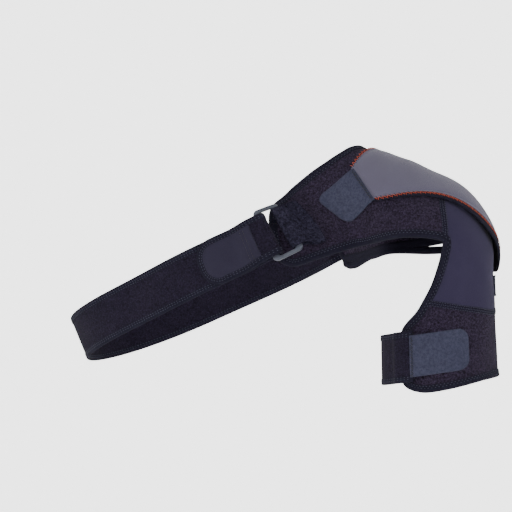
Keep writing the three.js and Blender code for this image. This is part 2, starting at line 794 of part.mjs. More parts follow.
const chestStrapHalf = (index) => (index < firstFold ? strapHalf : foldHalves[index - firstFold]);
const chestStrap = strapSolid(strapFrames, chestStrapHalf, bandPoint);

// Smooth pad inside the bound edge of the folded end
const padStart = STRAP_FALL / 2;
const padLength = STRAP_FOLD_LENGTH - STRAP_EDGE_WIDTH - CLEAR - padStart;
const padWidth = 2 * (strapCore - CLEAR - PAD_MARGIN);
const padRows = roundedRows(padLength, padWidth, STRAP_TIP_RADIUS - STRAP_EDGE_WIDTH, 5);
const strapPad = bend([TAB_STEPS, padRows.length - 1], (column, row, side) => {
  const [reach, half] = padRows[row];
  const along = padStart + reach;
  const seated = strapHeight(along) + foldedRise;
  const middle = mix(overBar(STRAP_EDGE_THICK), seated, ease(along / STRAP_FALL));
  const low = middle + STRAP_THICK / 2 + CLEAR;
  return bandPoint(along, (column / TAB_STEPS - 0.5) * 2 * half, low + side * PAD_THICK);
});

// Short pull strap of the wing, looped round the ring's other bar
const pullBar = -(RING_WIDTH - RING_BAR);
const pullEnd = pullBar - PULL_LENGTH;
const pullRows = [];
for (let step = 0; step < 6; step += 1) {
  pullRows.push([mix(pullEnd, pullBar, step / 6), PULL_REST]);
}
pullRows.push(...barTurn(pullBar, 1, PULL_THICK));
for (let step = 1; step <= 8; step += 1) {
  const along = mix(pullBar, pullEnd, step / 8);
  const drop = ease((pullBar - along - RING_BAR / 2) / PULL_FALL);
  pullRows.push([along, mix(overBar(PULL_THICK), PULL_REST + PULL_THICK + CLEAR, drop)]);
}
const pullFrames = pathFrames(pullRows);
const ringPull = bend([pullRows.length - 1, 4], (index, column, side) => {
  const { along, height, normal } = pullFrames[index];
  const out = (side - 0.5) * PULL_THICK;
  const across = (column / 4 - 0.5) * PULL_WIDTH;
  const follow = ease((pullBar - along - RING_BAR) / PULL_FALL);
  return bandPoint(along + normal[0] * out, across, height + normal[1] * out, follow);
});

// The arm band: a place by turn about the arm, rise over its tilted middle, and height
function armPoint(turn, rise, height) {
  const from = placeOf(LIMBS.arm.from);
  const to = placeOf(LIMBS.arm.to);
  const share = (rise - from[2]) / (to[2] - from[2]);
  const origin = [mix(from[0], to[0], share), mix(from[1], to[1], share), rise];
  const angle = radians(turn);
  const ray = new THREE.Vector3(Math.cos(angle), Math.sin(angle), ARM_TILT * Math.cos(angle));
  return lift(cast(origin, ray.normalize().toArray(), armDistance), height);
}

// Arm strap: sewn on the front of the cuff, round the inner arm and onto the cuff at the back
const armRise = riseOf(ARM_STRAP_RISE);
const [armFrom, armTo] = ARM_STRAP_TURNS;
const armRadius = LIMBS.arm.radii[0] * DEPTH;
const armCount = Math.round(radians(armTo - armFrom) * armRadius / ARM_STEP);
const armFrames = [];
for (let step = 0; step <= armCount; step += 1) {
  const turn = mix(armFrom, armTo, step / armCount);
  const onCuff = Math.max(
    1 - ease((turn - armFrom - ARM_CUFF_TURNS[0]) / ARM_STRAP_FALL),
    ease((turn - armTo + ARM_CUFF_TURNS[1]) / ARM_STRAP_FALL),
  );
  const height = mix(STRAP_REST, STRAP_OVER_TAPE, onCuff);
  armFrames.push({ along: turn, height, normal: [0, 1] });
}
const armStrap = strapSolid(
  armFrames,
  () => ARM_STRAP_WIDTH / 2,
  (turn, across, height) => armPoint(turn, armRise + across, height),
);

// Tab that closes the arm strap on the cuff
const tabSpan = radians(ARM_TAB_TURNS[1] - ARM_TAB_TURNS[0]) * (armRadius + TAB_LOW);
const armTabWidth = ARM_TAB_HALF[0] + ARM_TAB_HALF[1];
const armTabRows = roundedRows(tabSpan, armTabWidth, TAB_CORNER, TAB_STEPS + 2);
const armTab = bend([TAB_STEPS + 2, armTabRows.length - 1], (column, row, side) => {
  const [reach, half] = armTabRows[row];
  const turn = mix(ARM_TAB_TURNS[0], ARM_TAB_TURNS[1], reach / tabSpan);
  const drop = ease(reach / (TAB_FALL * tabSpan));
  const low = mix(STRAP_OVER_TAPE - TAB_THICK / 2, TAB_LOW, drop);
  const rise = armRise + (column / (TAB_STEPS + 2) - 0.5) * 2 * half;
  return armPoint(turn, rise, low + side * TAB_THICK);
});

// Plain patch on the outer side of the shoulder panel
const sidePatch = bend([8, 3], (column, row, side) => {
  const turn = mix(SIDE_PATCH_TURNS[0], SIDE_PATCH_TURNS[1], column / 8);
  const rise = riseOf(mix(SIDE_PATCH_RISES[0], SIDE_PATCH_RISES[1], row / 3));
  return armPoint(turn, rise, PANEL_TOP + CLEAR + side * PATCH_THICK);
});

const colours = {
  loop_cloth: ["#29262f", 0.95],
  smooth_cloth: ["#3a3746", 0.7],
  edge_tape: ["#1d1c24", 0.8],
  flap_cloth: ["#6a666c", 0.85],
  tab_cloth: ["#3c4052", 0.85],
  strap_web: ["#201e26", 0.9],
  pad_cloth: ["#2e2c38", 0.8],
  ring_plastic: ["#666a74", 0.35],
};

const brace = new THREE.Group();
brace.name = "shoulder_brace";

function addPiece(name, geometry, slot) {
  const [color, roughness] = colours[slot];
  const material = new THREE.MeshStandardMaterial({ color, roughness, metalness: 0 });
  material.name = slot;
  const mesh = new THREE.Mesh(geometry, material);
  mesh.name = name;
  brace.add(mesh);
}

addPiece("body_panel", bodyPanel, "loop_cloth");
addPiece("shoulder_panel", shoulderPanel, "smooth_cloth");
addPiece("cuff_panel", cuffPanel, "loop_cloth");
addPiece("edge_binding", edgeBinding, "edge_tape");
addPiece("flap_base", flapBase, "edge_tape");
addPiece("flap_cover", flapCover, "flap_cloth");
addPiece("flap_tab_back", flapTabBack, "tab_cloth");
addPiece("flap_tab_front", flapTabFront, "tab_cloth");
addPiece("chest_strap", chestStrap, "strap_web");
addPiece("strap_end_pad", strapPad, "pad_cloth");
addPiece("ring", ring, "ring_plastic");
addPiece("ring_pull", ringPull, "strap_web");
addPiece("arm_strap", armStrap, "strap_web");
addPiece("arm_tab", armTab, "tab_cloth");
addPiece("side_patch", sidePatch, "tab_cloth");

export default brace;
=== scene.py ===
import bmesh
import bpy
import numpy as np
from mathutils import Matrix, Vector


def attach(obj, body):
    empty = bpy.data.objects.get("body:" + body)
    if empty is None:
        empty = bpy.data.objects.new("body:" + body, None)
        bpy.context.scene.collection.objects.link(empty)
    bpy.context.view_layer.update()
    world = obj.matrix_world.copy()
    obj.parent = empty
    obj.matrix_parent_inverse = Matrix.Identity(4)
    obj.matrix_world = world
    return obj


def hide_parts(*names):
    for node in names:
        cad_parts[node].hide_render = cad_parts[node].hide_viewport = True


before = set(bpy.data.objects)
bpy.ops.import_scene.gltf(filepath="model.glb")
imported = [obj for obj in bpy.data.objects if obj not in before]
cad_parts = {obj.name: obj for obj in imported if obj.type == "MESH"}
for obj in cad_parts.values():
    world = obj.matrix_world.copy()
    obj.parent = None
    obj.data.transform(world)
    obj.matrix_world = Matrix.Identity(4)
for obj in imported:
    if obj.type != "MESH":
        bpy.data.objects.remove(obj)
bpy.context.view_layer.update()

# Body panel.
# A saddle of looped, foam-backed cloth over the top of the shoulder, with one wing down the
# back and one down the front. It is cut flat, sewn to the shoulder panel and worn stretched.
REACH, DEPTH, DROP, SEAT_DROP = 190.0, 102.0, 200.0, 6.9
SPANS = np.array([REACH, DEPTH, DROP])
SEAT = np.array([0.0, 0.0, -SEAT_DROP])
FORM_EGGS = {
    "chest": ((-1, 0.04, -0.935), (0.716, 1, 1.125)),
    "flank": ((-1.526, 0.02, -0.575), (0.426, 0.804, 0.48)),
    "girdle": ((-1, -0.118, -0.375), (0.832, 0.824, 0.31)),
    "shoulder": ((0.047, 0, -0.298), (0.247, 0.549, 0.2725)),
}
FORM_LIMBS = {
    "neck": ((-1, 0.157, 0.015), (-1, 0.412, 0.715), (0.51, 0.549)),
    "slope": ((-0.674, -0.059, 0.108), (-0.147, -0.059, -0.134), (0.294, 0.392)),
    "arm": ((0.095, -0.02, -0.385), (0.126, 0.02, -1.335), (0.49, 0.52)),
}
PANEL_LOW, PANEL_TOP = 1.6, 5.0
SETTLE_PASSES = 6


def place_of(rows):
    return np.asarray(rows, float) * SPANS + SEAT


def egg(points, name):
    at, half = (np.asarray(row, float) for row in FORM_EGGS[name])
    half = half * SPANS
    scaled = (points - place_of(at)) / half
    near = np.linalg.norm(scaled, axis=-1)
    slope = np.linalg.norm(scaled / half, axis=-1)
    return near * (near - 1) / np.maximum(slope, 1e-9)


def limb(points, name):
    start, end, radii = FORM_LIMBS[name]
    start, end = place_of(start), place_of(end)
    run = end - start
    share = np.clip((points - start) @ run / (run @ run), 0, 1)
    off = points - start - share[..., None] * run
    radius = DEPTH * (radii[0] + (radii[1] - radii[0]) * share)
    return np.linalg.norm(off, axis=-1) - radius


def melded(a, b, share):
    width = share * DEPTH
    near = np.maximum(width - np.abs(a - b), 0) / width
    return np.minimum(a, b) - near**3 * width / 6


def arm_distance(points):
    return melded(egg(points, "shoulder"), limb(points, "arm"), 0.294)


def chest_distance(points):
    gap = melded(egg(points, "chest"), egg(points, "girdle"), 0.49)
    gap = melded(gap, limb(points, "neck"), 0.588)
    gap = melded(gap, egg(points, "flank"), 0.49)
    return melded(gap, limb(points, "slope"), 0.49)


def form_distance(points):
    return melded(chest_distance(points), arm_distance(points), 0.333)


def outward(points, distance):
    """Slope of the distance at each point: its unit direction and its size."""
    probes = np.concatenate([np.eye(3), -np.eye(3)]) * 0.5
    near = distance(points[..., None, :] + probes)
    slope = near[..., :3] - near[..., 3:]
    size = np.linalg.norm(slope, axis=-1)
    return slope / size[..., None], size


def settle(points, passes=SETTLE_PASSES, distance=form_distance):
    """Points moved onto the form, with the outward normal at each."""
    points = np.array(points, float)
    for _ in range(passes):
        normal, size = outward(points, distance)
        points -= normal * (distance(points) / size)[..., None]
    return points, outward(points, distance)[0]


def unit(rows):
    return rows / np.linalg.norm(rows, axis=-1)[..., None]


def square_to(rows, axes):
    """Unit vectors of rows with what lies along their axes taken out."""
    return unit(rows - axes * np.sum(rows * axes, axis=1)[:, None])


def leftward(ahead):
    """Unit vectors a quarter turn to the left of flat headings."""
    return unit(np.stack([-ahead[:, 1], ahead[:, 0]], -1))


def ease(value):
    value = np.clip(value, 0, 1)
    return value**2 * (3 - 2 * value)


def arc_lengths(run):
    steps = np.linalg.norm(np.diff(run, axis=0), axis=1)
    return np.concatenate([[0], np.cumsum(steps)])


def read_off(rows, stations, at):
    """Rows of values at given places along them, read off between their stations."""
    return np.stack([np.interp(at, stations, column) for column in rows.T], -1)


def walk(run, distances):
    """Points at given distances along a run of points."""
    return read_off(run, arc_lengths(run), distances)


def trace(rows, count):
    """Evenly spaced points on a smooth curve through rows of shares, settled on the form."""
    knots = settle(place_of(rows))[0]
    knots = np.concatenate([[2 * knots[0] - knots[1]], knots, [2 * knots[-1] - knots[-2]]])
    fine = []
    for first, second, third, fourth in zip(knots, knots[1:], knots[2:], knots[3:]):
        before, width, after = (
            np.linalg.norm(b - a) ** 0.5
            for a, b in ((first, second), (second, third), (third, fourth))
        )
        leave = (second - first) / before - (third - first) / (before + width)
        leave = (leave + (third - second) / width) * width
        arrive = (third - second) / width - (fourth - second) / (width + after)
        arrive = (arrive + (fourth - third) / after) * width
        share = np.linspace(0, 1, 60, endpoint=False)[:, None]
        rise = 3 * share**2 - 2 * share**3
        fine.append(
            second + (third - second) * rise
            + leave * share * (1 - share) ** 2
            - arrive * share**2 * (1 - share)
        )
    fine = np.concatenate([*fine, knots[-2:-1]])
    return walk(fine, np.linspace(0, arc_lengths(fine)[-1], count + 1))


def mirrored(rows):
    return [(across, -deep, up) for across, deep, up in rows]


def joined(*runs):
    return np.concatenate([runs[0], *[run[1:] for run in runs[1:]]])


def evened(low, high, start, end, passes=48):
    """Grid of points on the form inside four edges, with its cells evened out."""
    turn = np.linspace(0, 1, len(low))[:, None, None]
    share = np.linspace(0, 1, len(start))[None, :, None]
    grid = (
        low[:, None] * (1 - share) + high[:, None] * share
        + start[None] * (1 - turn) + end[None] * turn
        - (low[0] * (1 - turn) + low[-1] * turn) * (1 - share)
        - (high[0] * (1 - turn) + high[-1] * turn) * share
    )
    grid = settle(grid)[0]
    for _ in range(passes):
        middle = grid[:-2, 1:-1] + grid[2:, 1:-1] + grid[1:-1, :-2] + grid[1:-1, 2:]
        grid[1:-1, 1:-1] = settle(middle / 4, 1)[0]
    return grid


def smooth_at(grid, across, along):
    """Points of a grid at shares across and along it, on smooth curves through its own."""
    padded = np.concatenate([[2 * grid[0] - grid[1]], grid, [2 * grid[-1] - grid[-2]]])
    first, last = 2 * padded[:, :1] - padded[:, 1:2], 2 * padded[:, -1:] - padded[:, -2:-1]
    padded = np.concatenate([first, padded, last], axis=1)
    cells, shares = [], []
    for place, count in ((across, grid.shape[0] - 1), (along, grid.shape[1] - 1)):
        cell = np.clip((place * count).astype(int), 0, count - 1)
        t = place * count - cell
        cells.append(cell)
        shares.append(np.stack([
            (-t + 2 * t**2 - t**3) / 2,
            (2 - 5 * t**2 + 3 * t**3) / 2,
            (t + 4 * t**2 - 3 * t**3) / 2,
            (t**3 - t**2) / 2,
        ]))
    total = 0
    for i in range(4):
        for j in range(4):
            weight = (shares[0][i] * shares[1][j])[:, None]
            total = total + weight * padded[cells[0] + i, cells[1] + j]
    return total


def drape(points):
    """Low, slow waves that every cloth on the form shares, so that layers stay stacked."""
    x, y, z = points.T
    wave = np.sin(x / 13 + z / 19) * np.sin(y / 17 - z / 11)
    return 0.3 * wave + 0.2 * np.sin(y / 7 + x / 23) * np.sin(z / 9)


def laid(points, heights):
    seat, normal = settle(points)
    return seat + normal * (heights + drape(seat))[:, None]


def meshed(name, bm, *materials):
    """The mesh made from a bmesh, which is freed, with its materials."""
    mesh = bpy.data.meshes.new(name)
    bm.to_mesh(mesh)
    bm.free()
    for material in materials:
        mesh.materials.append(material)
    return mesh


def linked(name, data):
    """An object of its data, in the scene and at the origin."""
    thing = bpy.data.objects.new(name, data)
    bpy.context.scene.collection.objects.link(thing)
    return thing


def closed_sheet(name, columns, rows, place, flat, material):
    """A grid thickened into a closed sheet; place puts its points by shares and side."""
    bm = bmesh.new()
    bmesh.ops.create_grid(bm, x_segments=columns, y_segments=rows, size=0.5)
    bmesh.ops.solidify(bm, geom=bm.faces[:], thickness=1.0)
    cloth_map = bm.loops.layers.uv.new("cloth")
    for face in bm.faces:
        face.smooth = True
        for loop in face.loops:
            x, y, _ = loop.vert.co
            loop[cloth_map].uv = ((x + 0.5) * flat[0], (y + 0.5) * flat[1])
    flat_places = np.array([vert.co for vert in bm.verts])
    side = np.abs(flat_places[:, 2]) > 0.5
    placed = place(flat_places[:, 0] + 0.5, flat_places[:, 1] + 0.5, side.astype(float))
    for vert, point in zip(bm.verts, placed / 1000):
        vert.co = point
    bmesh.ops.recalc_face_normals(bm, faces=bm.faces[:])
    return linked(name, meshed(name, bm, material))


NECK_EDGE_BACK = [
    (-0.61, -0.58, -0.085), (-0.573, -0.5, -0.035), (-0.485, -0.42, 0.025),
    (-0.42, -0.35, 0.06), (-0.36, -0.25, 0.095),
]
NECK_EDGE_TOP = [(-0.36, -0.25, 0.095), (-0.325, -0.03, 0.115), (-0.375, 0.18, 0.11)]
NECK_EDGE_FRONT = [
    (-0.375, 0.18, 0.11), (-0.42, 0.3, 0.075), (-0.485, 0.42, 0.025),
    (-0.56, 0.54, -0.045), (-0.61, 0.58, -0.085),
]
LOW_EDGE = [
    (-0.548, -0.85, -0.395), (-0.5, -0.82, -0.412), (-0.42, -0.753, -0.385),
    (-0.314, -0.627, -0.347), (-0.202, -0.522, -0.312), (-0.089, -0.552, -0.29),
    (0.052, -0.595, -0.27), (0.151, -0.566, -0.272), (0.236, -0.476, -0.288),
]
SHOULDER_SEAM = [
    (0.236, -0.476, -0.288), (0.19, -0.335, -0.111), (0.163, -0.17, -0.045),
    (0.158, 0, -0.03), (0.163, 0.17, -0.045), (0.19, 0.335, -0.111),
    (0.236, 0.476, -0.288),
]
WING_END = [
    (-0.548, -0.85, -0.395), (-0.575, -0.85, -0.36), (-0.615, -0.8, -0.27),
    (-0.645, -0.72, -0.18), (-0.64, -0.66, -0.125), (-0.61, -0.58, -0.085),
]
WING_COUNT, TOP_COUNT, WING_ROWS = 16, 20, 12
neck_edge = joined(
    trace(NECK_EDGE_BACK, WING_COUNT),
    trace(NECK_EDGE_TOP, TOP_COUNT),
    trace(NECK_EDGE_FRONT, WING_COUNT),
)
low_back = trace(LOW_EDGE, WING_COUNT)
low_front = trace(mirrored(LOW_EDGE), WING_COUNT)[::-1]
shoulder_seam = trace(SHOULDER_SEAM, TOP_COUNT)
end_back = trace(WING_END, WING_ROWS)
end_front = trace(mirrored(WING_END), WING_ROWS)
body_grid = evened(joined(low_back, shoulder_seam, low_front), neck_edge, end_back, end_front)
EDGE_INSET = 0.012


def panel_place(grid, far_edge_bound=True):
    """Place of a panel's points on its grid, drawn in a little from its bound edges."""

    def placed(across, along, side):
        across = EDGE_INSET / 2 + (1 - EDGE_INSET) * across
        along = (1 - EDGE_INSET * far_edge_bound) * along
        return laid(smooth_at(grid, across, along), PANEL_LOW + (PANEL_TOP - PANEL_LOW) * side)

    return placed


def linear(red, green, blue):
    """Linear colour of a colour read off a screen, from 0 to 255."""
    shares = [value / 255 for value in (red, green, blue)]
    return tuple(
        share / 12.92 if share <= 0.04045 else ((share + 0.055) / 1.055) ** 2.4
        for share in shares
    ) + (1.0,)


def new_group(name, inputs, outputs):
    group = bpy.data.node_groups.new(name, "ShaderNodeTree")
    for label, kind, value in inputs:
        socket = group.interface.new_socket(label, in_out="INPUT", socket_type=kind)
        socket.default_value = value
    for label, kind in outputs:
        group.interface.new_socket(label, in_out="OUTPUT", socket_type=kind)
    start = group.nodes.new("NodeGroupInput")
    end = group.nodes.new("NodeGroupOutput")
    return group, start, end


def node(tree, kind, links=(), **values):
    """A node with its values set and its inputs linked, by socket name or number."""
    made = tree.nodes.new(kind)
    for name, value in values.items():
        setattr(made, name, value)
    for socket, source in links:
        if isinstance(source, bpy.types.NodeSocket):
            tree.links.new(source, made.inputs[socket])
        else:
            made.inputs[socket].default_value = source
    return made


def maths(tree, operation, *values):
    """Output of a math node on one or two values."""
    return node(tree, "ShaderNodeMath", list(enumerate(values)), operation=operation).outputs[0]


def spread(tree, value, start=(0.0, 1.0), end=(0.0, 1.0)):
    """A value moved from one range to another and held inside it."""
    ends = enumerate((*start, *end), 1)
    return node(tree, "ShaderNodeMapRange", [("Value", value), *ends]).outputs["Result"]


def noise(tree, place, scale, detail, roughness=0.5):
    return node(
        tree, "ShaderNodeTexNoise",
        [("Vector", place), ("Scale", scale), ("Detail", detail), ("Roughness", roughness)],
    ).outputs["Fac"]


def own_place(tree):
    return node(tree, "ShaderNodeTexCoord").outputs["Object"]


# Looped pile: soft loops about a millimetre across, in clumps, on the object's own place
pile, start, end = new_group(
    "looped_pile",
    [("Loops", "NodeSocketFloat", 900.0), ("Clumps", "NodeSocketFloat", 480.0)],
    [("Shade", "NodeSocketFloat"), ("Height", "NodeSocketFloat")],
)
place = own_place(pile)
loops = noise(pile, place, start.outputs["Loops"], 2.0, 0.6)
clumps = noise(pile, place, start.outputs["Clumps"], 3.0, 0.55)
curls = node(
    pile, "ShaderNodeTexVoronoi", [("Vector", place), ("Scale", start.outputs["Loops"])]
)
shade = spread(pile, maths(pile, "ADD", loops, clumps), (0.74, 1.3))
pile.links.new(shade, end.inputs["Shade"])
pile.links.new(maths(pile, "ADD", loops, curls.outputs["Distance"]), end.inputs["Height"])

# Knit: fine ribs along the cloth's own map, in millimetres, broken up by a little noise
FULL_TURN = 6.2832
knit, start, end = new_group(
    "fine_knit",
    [("Rib width", "NodeSocketFloat", 0.9), ("Course width", "NodeSocketFloat", 0.9)],
    [("Shade", "NodeSocketFloat"), ("Height", "NodeSocketFloat")],
)
cloth_uv = node(knit, "ShaderNodeUVMap", uv_map="cloth").outputs["UV"]
parts = node(knit, "ShaderNodeSeparateXYZ", [("Vector", cloth_uv)])
waves = []
for socket, label in ((0, "Rib width"), (1, "Course width")):
    turn = maths(knit, "DIVIDE", parts.outputs[socket], start.outputs[label])
    waves.append(maths(knit, "SINE", maths(knit, "MULTIPLY", turn, FULL_TURN)))
uneven = noise(knit, cloth_uv, 0.9, 3.0)
relief = maths(knit, "ADD", maths(knit, "MULTIPLY", *waves), uneven)
knit.links.new(spread(knit, relief, (-0.4, 1.4)), end.inputs["Shade"])
knit.links.new(relief, end.inputs["Height"])

# Handling: slow uneven tone over a whole piece, as on worn cloth and plastic
handling, start, end = new_group(
    "handling", [("Size", "NodeSocketFloat", 28.0)], [("Tone", "NodeSocketFloat")]
)
slow = noise(handling, own_place(handling), start.outputs["Size"], 3.0)
handling.links.new(spread(handling, slow, (0.3, 0.7)), end.inputs["Tone"])


def new_material(name):
    material = bpy.data.materials.new(name)
    material.use_nodes = True
    material.node_tree.nodes.clear()
    return material, material.node_tree


def surfaced(tree, colour, roughness, relief, more):
    """The tree's surface, with a relief of height, strength and distance in metres."""
    height, strength, distance = relief
    bump = node(
        tree, "ShaderNodeBump",
        [("Height", height), ("Strength", strength), ("Distance", distance)],
    )
    shader = node(
        tree, "ShaderNodeBsdfPrincipled",
        [("Base Color", colour), ("Roughness", roughness), ("Normal", bump.outputs["Normal"]),
         *more],
    )
    node(tree, "ShaderNodeOutputMaterial", [("Surface", shader.outputs["BSDF"])])


def cloth(name, group, dark, light, worn, roughness, bump, sheen, group_values=()):
    """Cloth of two shades from a grain group, with slow wear, relief and sheen."""
    material, tree = new_material(name)
    grain = node(tree, "ShaderNodeGroup", node_tree=group)
    for label, value in group_values:
        grain.inputs[label].default_value = value
    wear = node(tree, "ShaderNodeGroup", node_tree=handling)
    mixed = node(
        tree, "ShaderNodeMix",
        [("Factor", grain.outputs["Shade"]), (6, dark), (7, light)], data_type="RGBA",
    )
    toned = node(
        tree, "ShaderNodeMix",
        [("Factor", wear.outputs["Tone"]), (6, mixed.outputs[2]), (7, worn)],
        data_type="RGBA", blend_type="MULTIPLY",
    )
    surfaced(
        tree, toned.outputs[2], roughness, (grain.outputs["Height"], bump, 0.0006),
        [("Sheen Weight", sheen), ("Sheen Roughness", 0.5), ("Specular IOR Level", 0.0)],
    )
    return material


BLACK_WORN = (0.85, 0.85, 0.88, 1)
loop_cloth = cloth(
    "loop_cloth", pile, linear(10, 8, 13), linear(40, 34, 47), (0.84, 0.82, 0.87, 1),
    0.95, 0.8, 0.02,
)
body_panel = closed_sheet(
    "body_panel_cloth", 208, 60, panel_place(body_grid), (420, 150), loop_cloth
)
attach(body_panel, "root")
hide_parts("body_panel")

# Shoulder panel.
# A smooth-faced, foam-backed panel over the outer side of the shoulder. It is sewn to the
# body panel above and to the cuff panel below, and bound along the armhole at both sides.
ARMHOLE_HIGH = [
    (0.236, -0.476, -0.288), (0.232, -0.5, -0.34), (0.213, -0.51, -0.41),
    (0.184, -0.522, -0.499), (0.14, -0.535, -0.58),
]
CUFF_SEAM = [
    (0.14, -0.535, -0.58), (0.185, -0.514, -0.585), (0.279, -0.422, -0.602),
    (0.352, -0.258, -0.618), (0.386, -0.015, -0.634), (0.352, 0.258, -0.625),
    (0.279, 0.422, -0.605), (0.185, 0.514, -0.587), (0.14, 0.535, -0.58),
]
HIGH_COUNT = 7
high_back = trace(ARMHOLE_HIGH, HIGH_COUNT)
high_front = trace(mirrored(ARMHOLE_HIGH), HIGH_COUNT)
cuff_seam = trace(CUFF_SEAM, TOP_COUNT)
shoulder_grid = evened(shoulder_seam, cuff_seam, high_back, high_front)
smooth_cloth = cloth(
    "smooth_cloth", knit, linear(27, 24, 37), linear(38, 35, 50), (0.86, 0.85, 0.9, 1),
    0.8, 0.14, 0.03, [("Rib width", 1.2), ("Course width", 0.8)],
)
shoulder_panel = closed_sheet(
    "shoulder_panel_cloth", 100, 40, panel_place(shoulder_grid, False), (150, 65), smooth_cloth
)
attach(shoulder_panel, "root")
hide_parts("shoulder_panel")

# Cuff panel.
# A looped, foam-backed panel round the outer side of the upper arm, wide enough for the tab
# to grip anywhere on it. Its lower edge and both sides are bound.
ARMHOLE_LOW = [
    (0.14, -0.535, -0.58), (0.11, -0.535, -0.63), (0.031, -0.518, -0.712),
    (0.02, -0.51, -0.8), (0.02, -0.51, -0.93), (0.045, -0.52, -0.975),
]
CUFF_HEM = [
    (0.045, -0.52, -0.975), (0.12, -0.532, -0.997), (0.261, -0.459, -0.977),
    (0.357, -0.282, -0.95), (0.401, 0.025, -0.931), (0.357, 0.282, -0.945),
    (0.261, 0.459, -0.97), (0.12, 0.532, -0.992), (0.045, 0.52, -0.972),
]
LOW_COUNT = 11
armhole_back = trace(ARMHOLE_LOW, LOW_COUNT)
armhole_front = trace(mirrored(ARMHOLE_LOW), LOW_COUNT)
cuff_hem = trace(CUFF_HEM, TOP_COUNT)
cuff_grid = evened(cuff_seam, cuff_hem, armhole_back, armhole_front)
cuff_panel = closed_sheet(
    "cuff_panel_cloth", 110, 52, panel_place(cuff_grid), (165, 80), loop_cloth
)
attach(cuff_panel, "root")
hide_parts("cuff_panel")

# Edge binding.
# Black knitted tape folded over the whole outer edge of the three panels, held by two rows of
# dotted stitches near its inner side. It starts and ends under the ring's pull strap.
TAPE_TOP, TAPE_LOW, TAPE_THICK = 6.3, 0.45, 0.6
TAPE_PROFILE = [
    (5.8, PANEL_TOP + 0.15), (5.75, PANEL_TOP + 0.6), (5.4, PANEL_TOP + 0.75),
    (4.7, PANEL_TOP + 0.5), (4.1, PANEL_TOP + 0.95), (3.4, PANEL_TOP + 0.95),
    (2.8, PANEL_TOP + 0.5), (2.2, TAPE_TOP - 0.2), (1.2, TAPE_TOP), (0.2, TAPE_TOP - 0.05),
    (-0.7, TAPE_TOP - 0.55), (-1.35, TAPE_TOP - 1.5), (-1.6, (TAPE_TOP + TAPE_LOW) / 2),
    (-1.35, TAPE_LOW + 1.4), (-0.7, TAPE_LOW + 0.5), (0.2, TAPE_LOW + 0.1), (1.5, TAPE_LOW),
    (3.5, TAPE_LOW + 0.15), (5.5, TAPE_LOW + 0.35), (5.8, PANEL_LOW - 0.15),
]


def softened(values, reach):
    """Values evened along their run, so that corners turn gradually."""
    for _ in range(reach):
        middle = (values[:-2] + values[2:] + 2 * values[1:-1]) / 4
        values = np.concatenate([values[:1], middle, values[-1:]])
    return values


def edge_chart(run, step=1.5, corner=6):
    """Chart along an edge on the form: distance along, distance in, and height."""
    length = arc_lengths(run)[-1]
    count = int(length / step)
    seats = walk(run, np.linspace(0, length, count + 1))
    seats, normals = settle(softened(seats, corner), 3)
    inward = unit(np.cross(np.gradient(seats, axis=0), normals))
    inward = unit(softened(inward, 2 * corner))
    stations = arc_lengths(seats)

    def chart(along, into, height):
        seat = read_off(seats, stations, along)
        return laid(seat + read_off(inward, stations, along) * into[:, None], height)

    return chart, stations[-1]


def section_place(chart, length, profile, thick):
    """Place of a tape's points: its outer profile, and the same moved in by its thickness."""
    outer = np.array(profile)
    inner = outer + leftward(np.gradient(outer, axis=0)) * thick
    shares = np.linspace(0, 1, len(outer))

    def placed(across, along, side):
        side = side[:, None]
        rows = read_off(outer, shares, along) * side + read_off(inner, shares, along) * (1 - side)
        return chart(across * length, *rows.T)

    return placed


middle_row = WING_ROWS // 2
outline = joined(
    end_back[middle_row:], neck_edge, end_front[::-1], low_front, high_front,
    armhole_front, cuff_hem[::-1], armhole_back[::-1], high_back[::-1], low_back[::-1],
    end_back[: middle_row + 1],
)
START_SHARE = 0.1
outline[0] += START_SHARE * (outline[1] - outline[0])
binding_chart, binding_length = edge_chart(outline)
binding_place = section_place(binding_chart, binding_length, TAPE_PROFILE, TAPE_THICK)
edge_tape = cloth(
    "edge_tape", knit, linear(10, 9, 15), linear(25, 24, 34), BLACK_WORN,
    0.85, 0.3, 0.02, [("Rib width", 1.1), ("Course width", 1.6)],
)
edge_binding = closed_sheet(
    "edge_binding_tape", 1000, len(TAPE_PROFILE) - 1, binding_place, (binding_length, 24),
    edge_tape,
)
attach(edge_binding, "root")
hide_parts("edge_binding")


def sewn(name, surface, rows, size, material):
    """Thread stitches as small beads of a length, width and thickness on a surface.

    Their rows are distance along, distance across, slant in degrees and height.
    """
    length, width, thick = size
    bead = bmesh.new()
    bmesh.ops.create_uvsphere(bead, u_segments=6, v_segments=4, radius=0.5)
    bead_mesh = meshed(name + "_one", bead)
    rows = np.asarray(rows, float)
    bm = bmesh.new()
    for _ in rows:
        bm.from_mesh(bead_mesh)
    mesh = meshed(name, bm, material)
    bpy.data.meshes.remove(bead_mesh)
    along, across, slant, height = rows.T
    turn = np.radians(slant)
    middle = surface(along, across, height)
    heading = unit(surface(along + np.cos(turn), across + np.sin(turn), height) - middle)
    up = square_to(surface(along, across, height + 1) - middle, heading)
    sideways = np.cross(up, heading)
    places = np.empty(len(mesh.vertices) * 3)
    mesh.vertices.foreach_get("co", places)
    places = places.reshape(len(rows), -1, 3)
    placed = (
        middle[:, None]
        + places[..., :1] * width * sideways[:, None]
        + places[..., 1:2] * thick * up[:, None]
        + places[..., 2:] * length * heading[:, None]
    )
    mesh.vertices.foreach_set("co", (placed / 1000).ravel())
    mesh.shade_smooth()
    mesh.update()
    piece = linked(name, mesh)
    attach(piece, "root")
    return piece


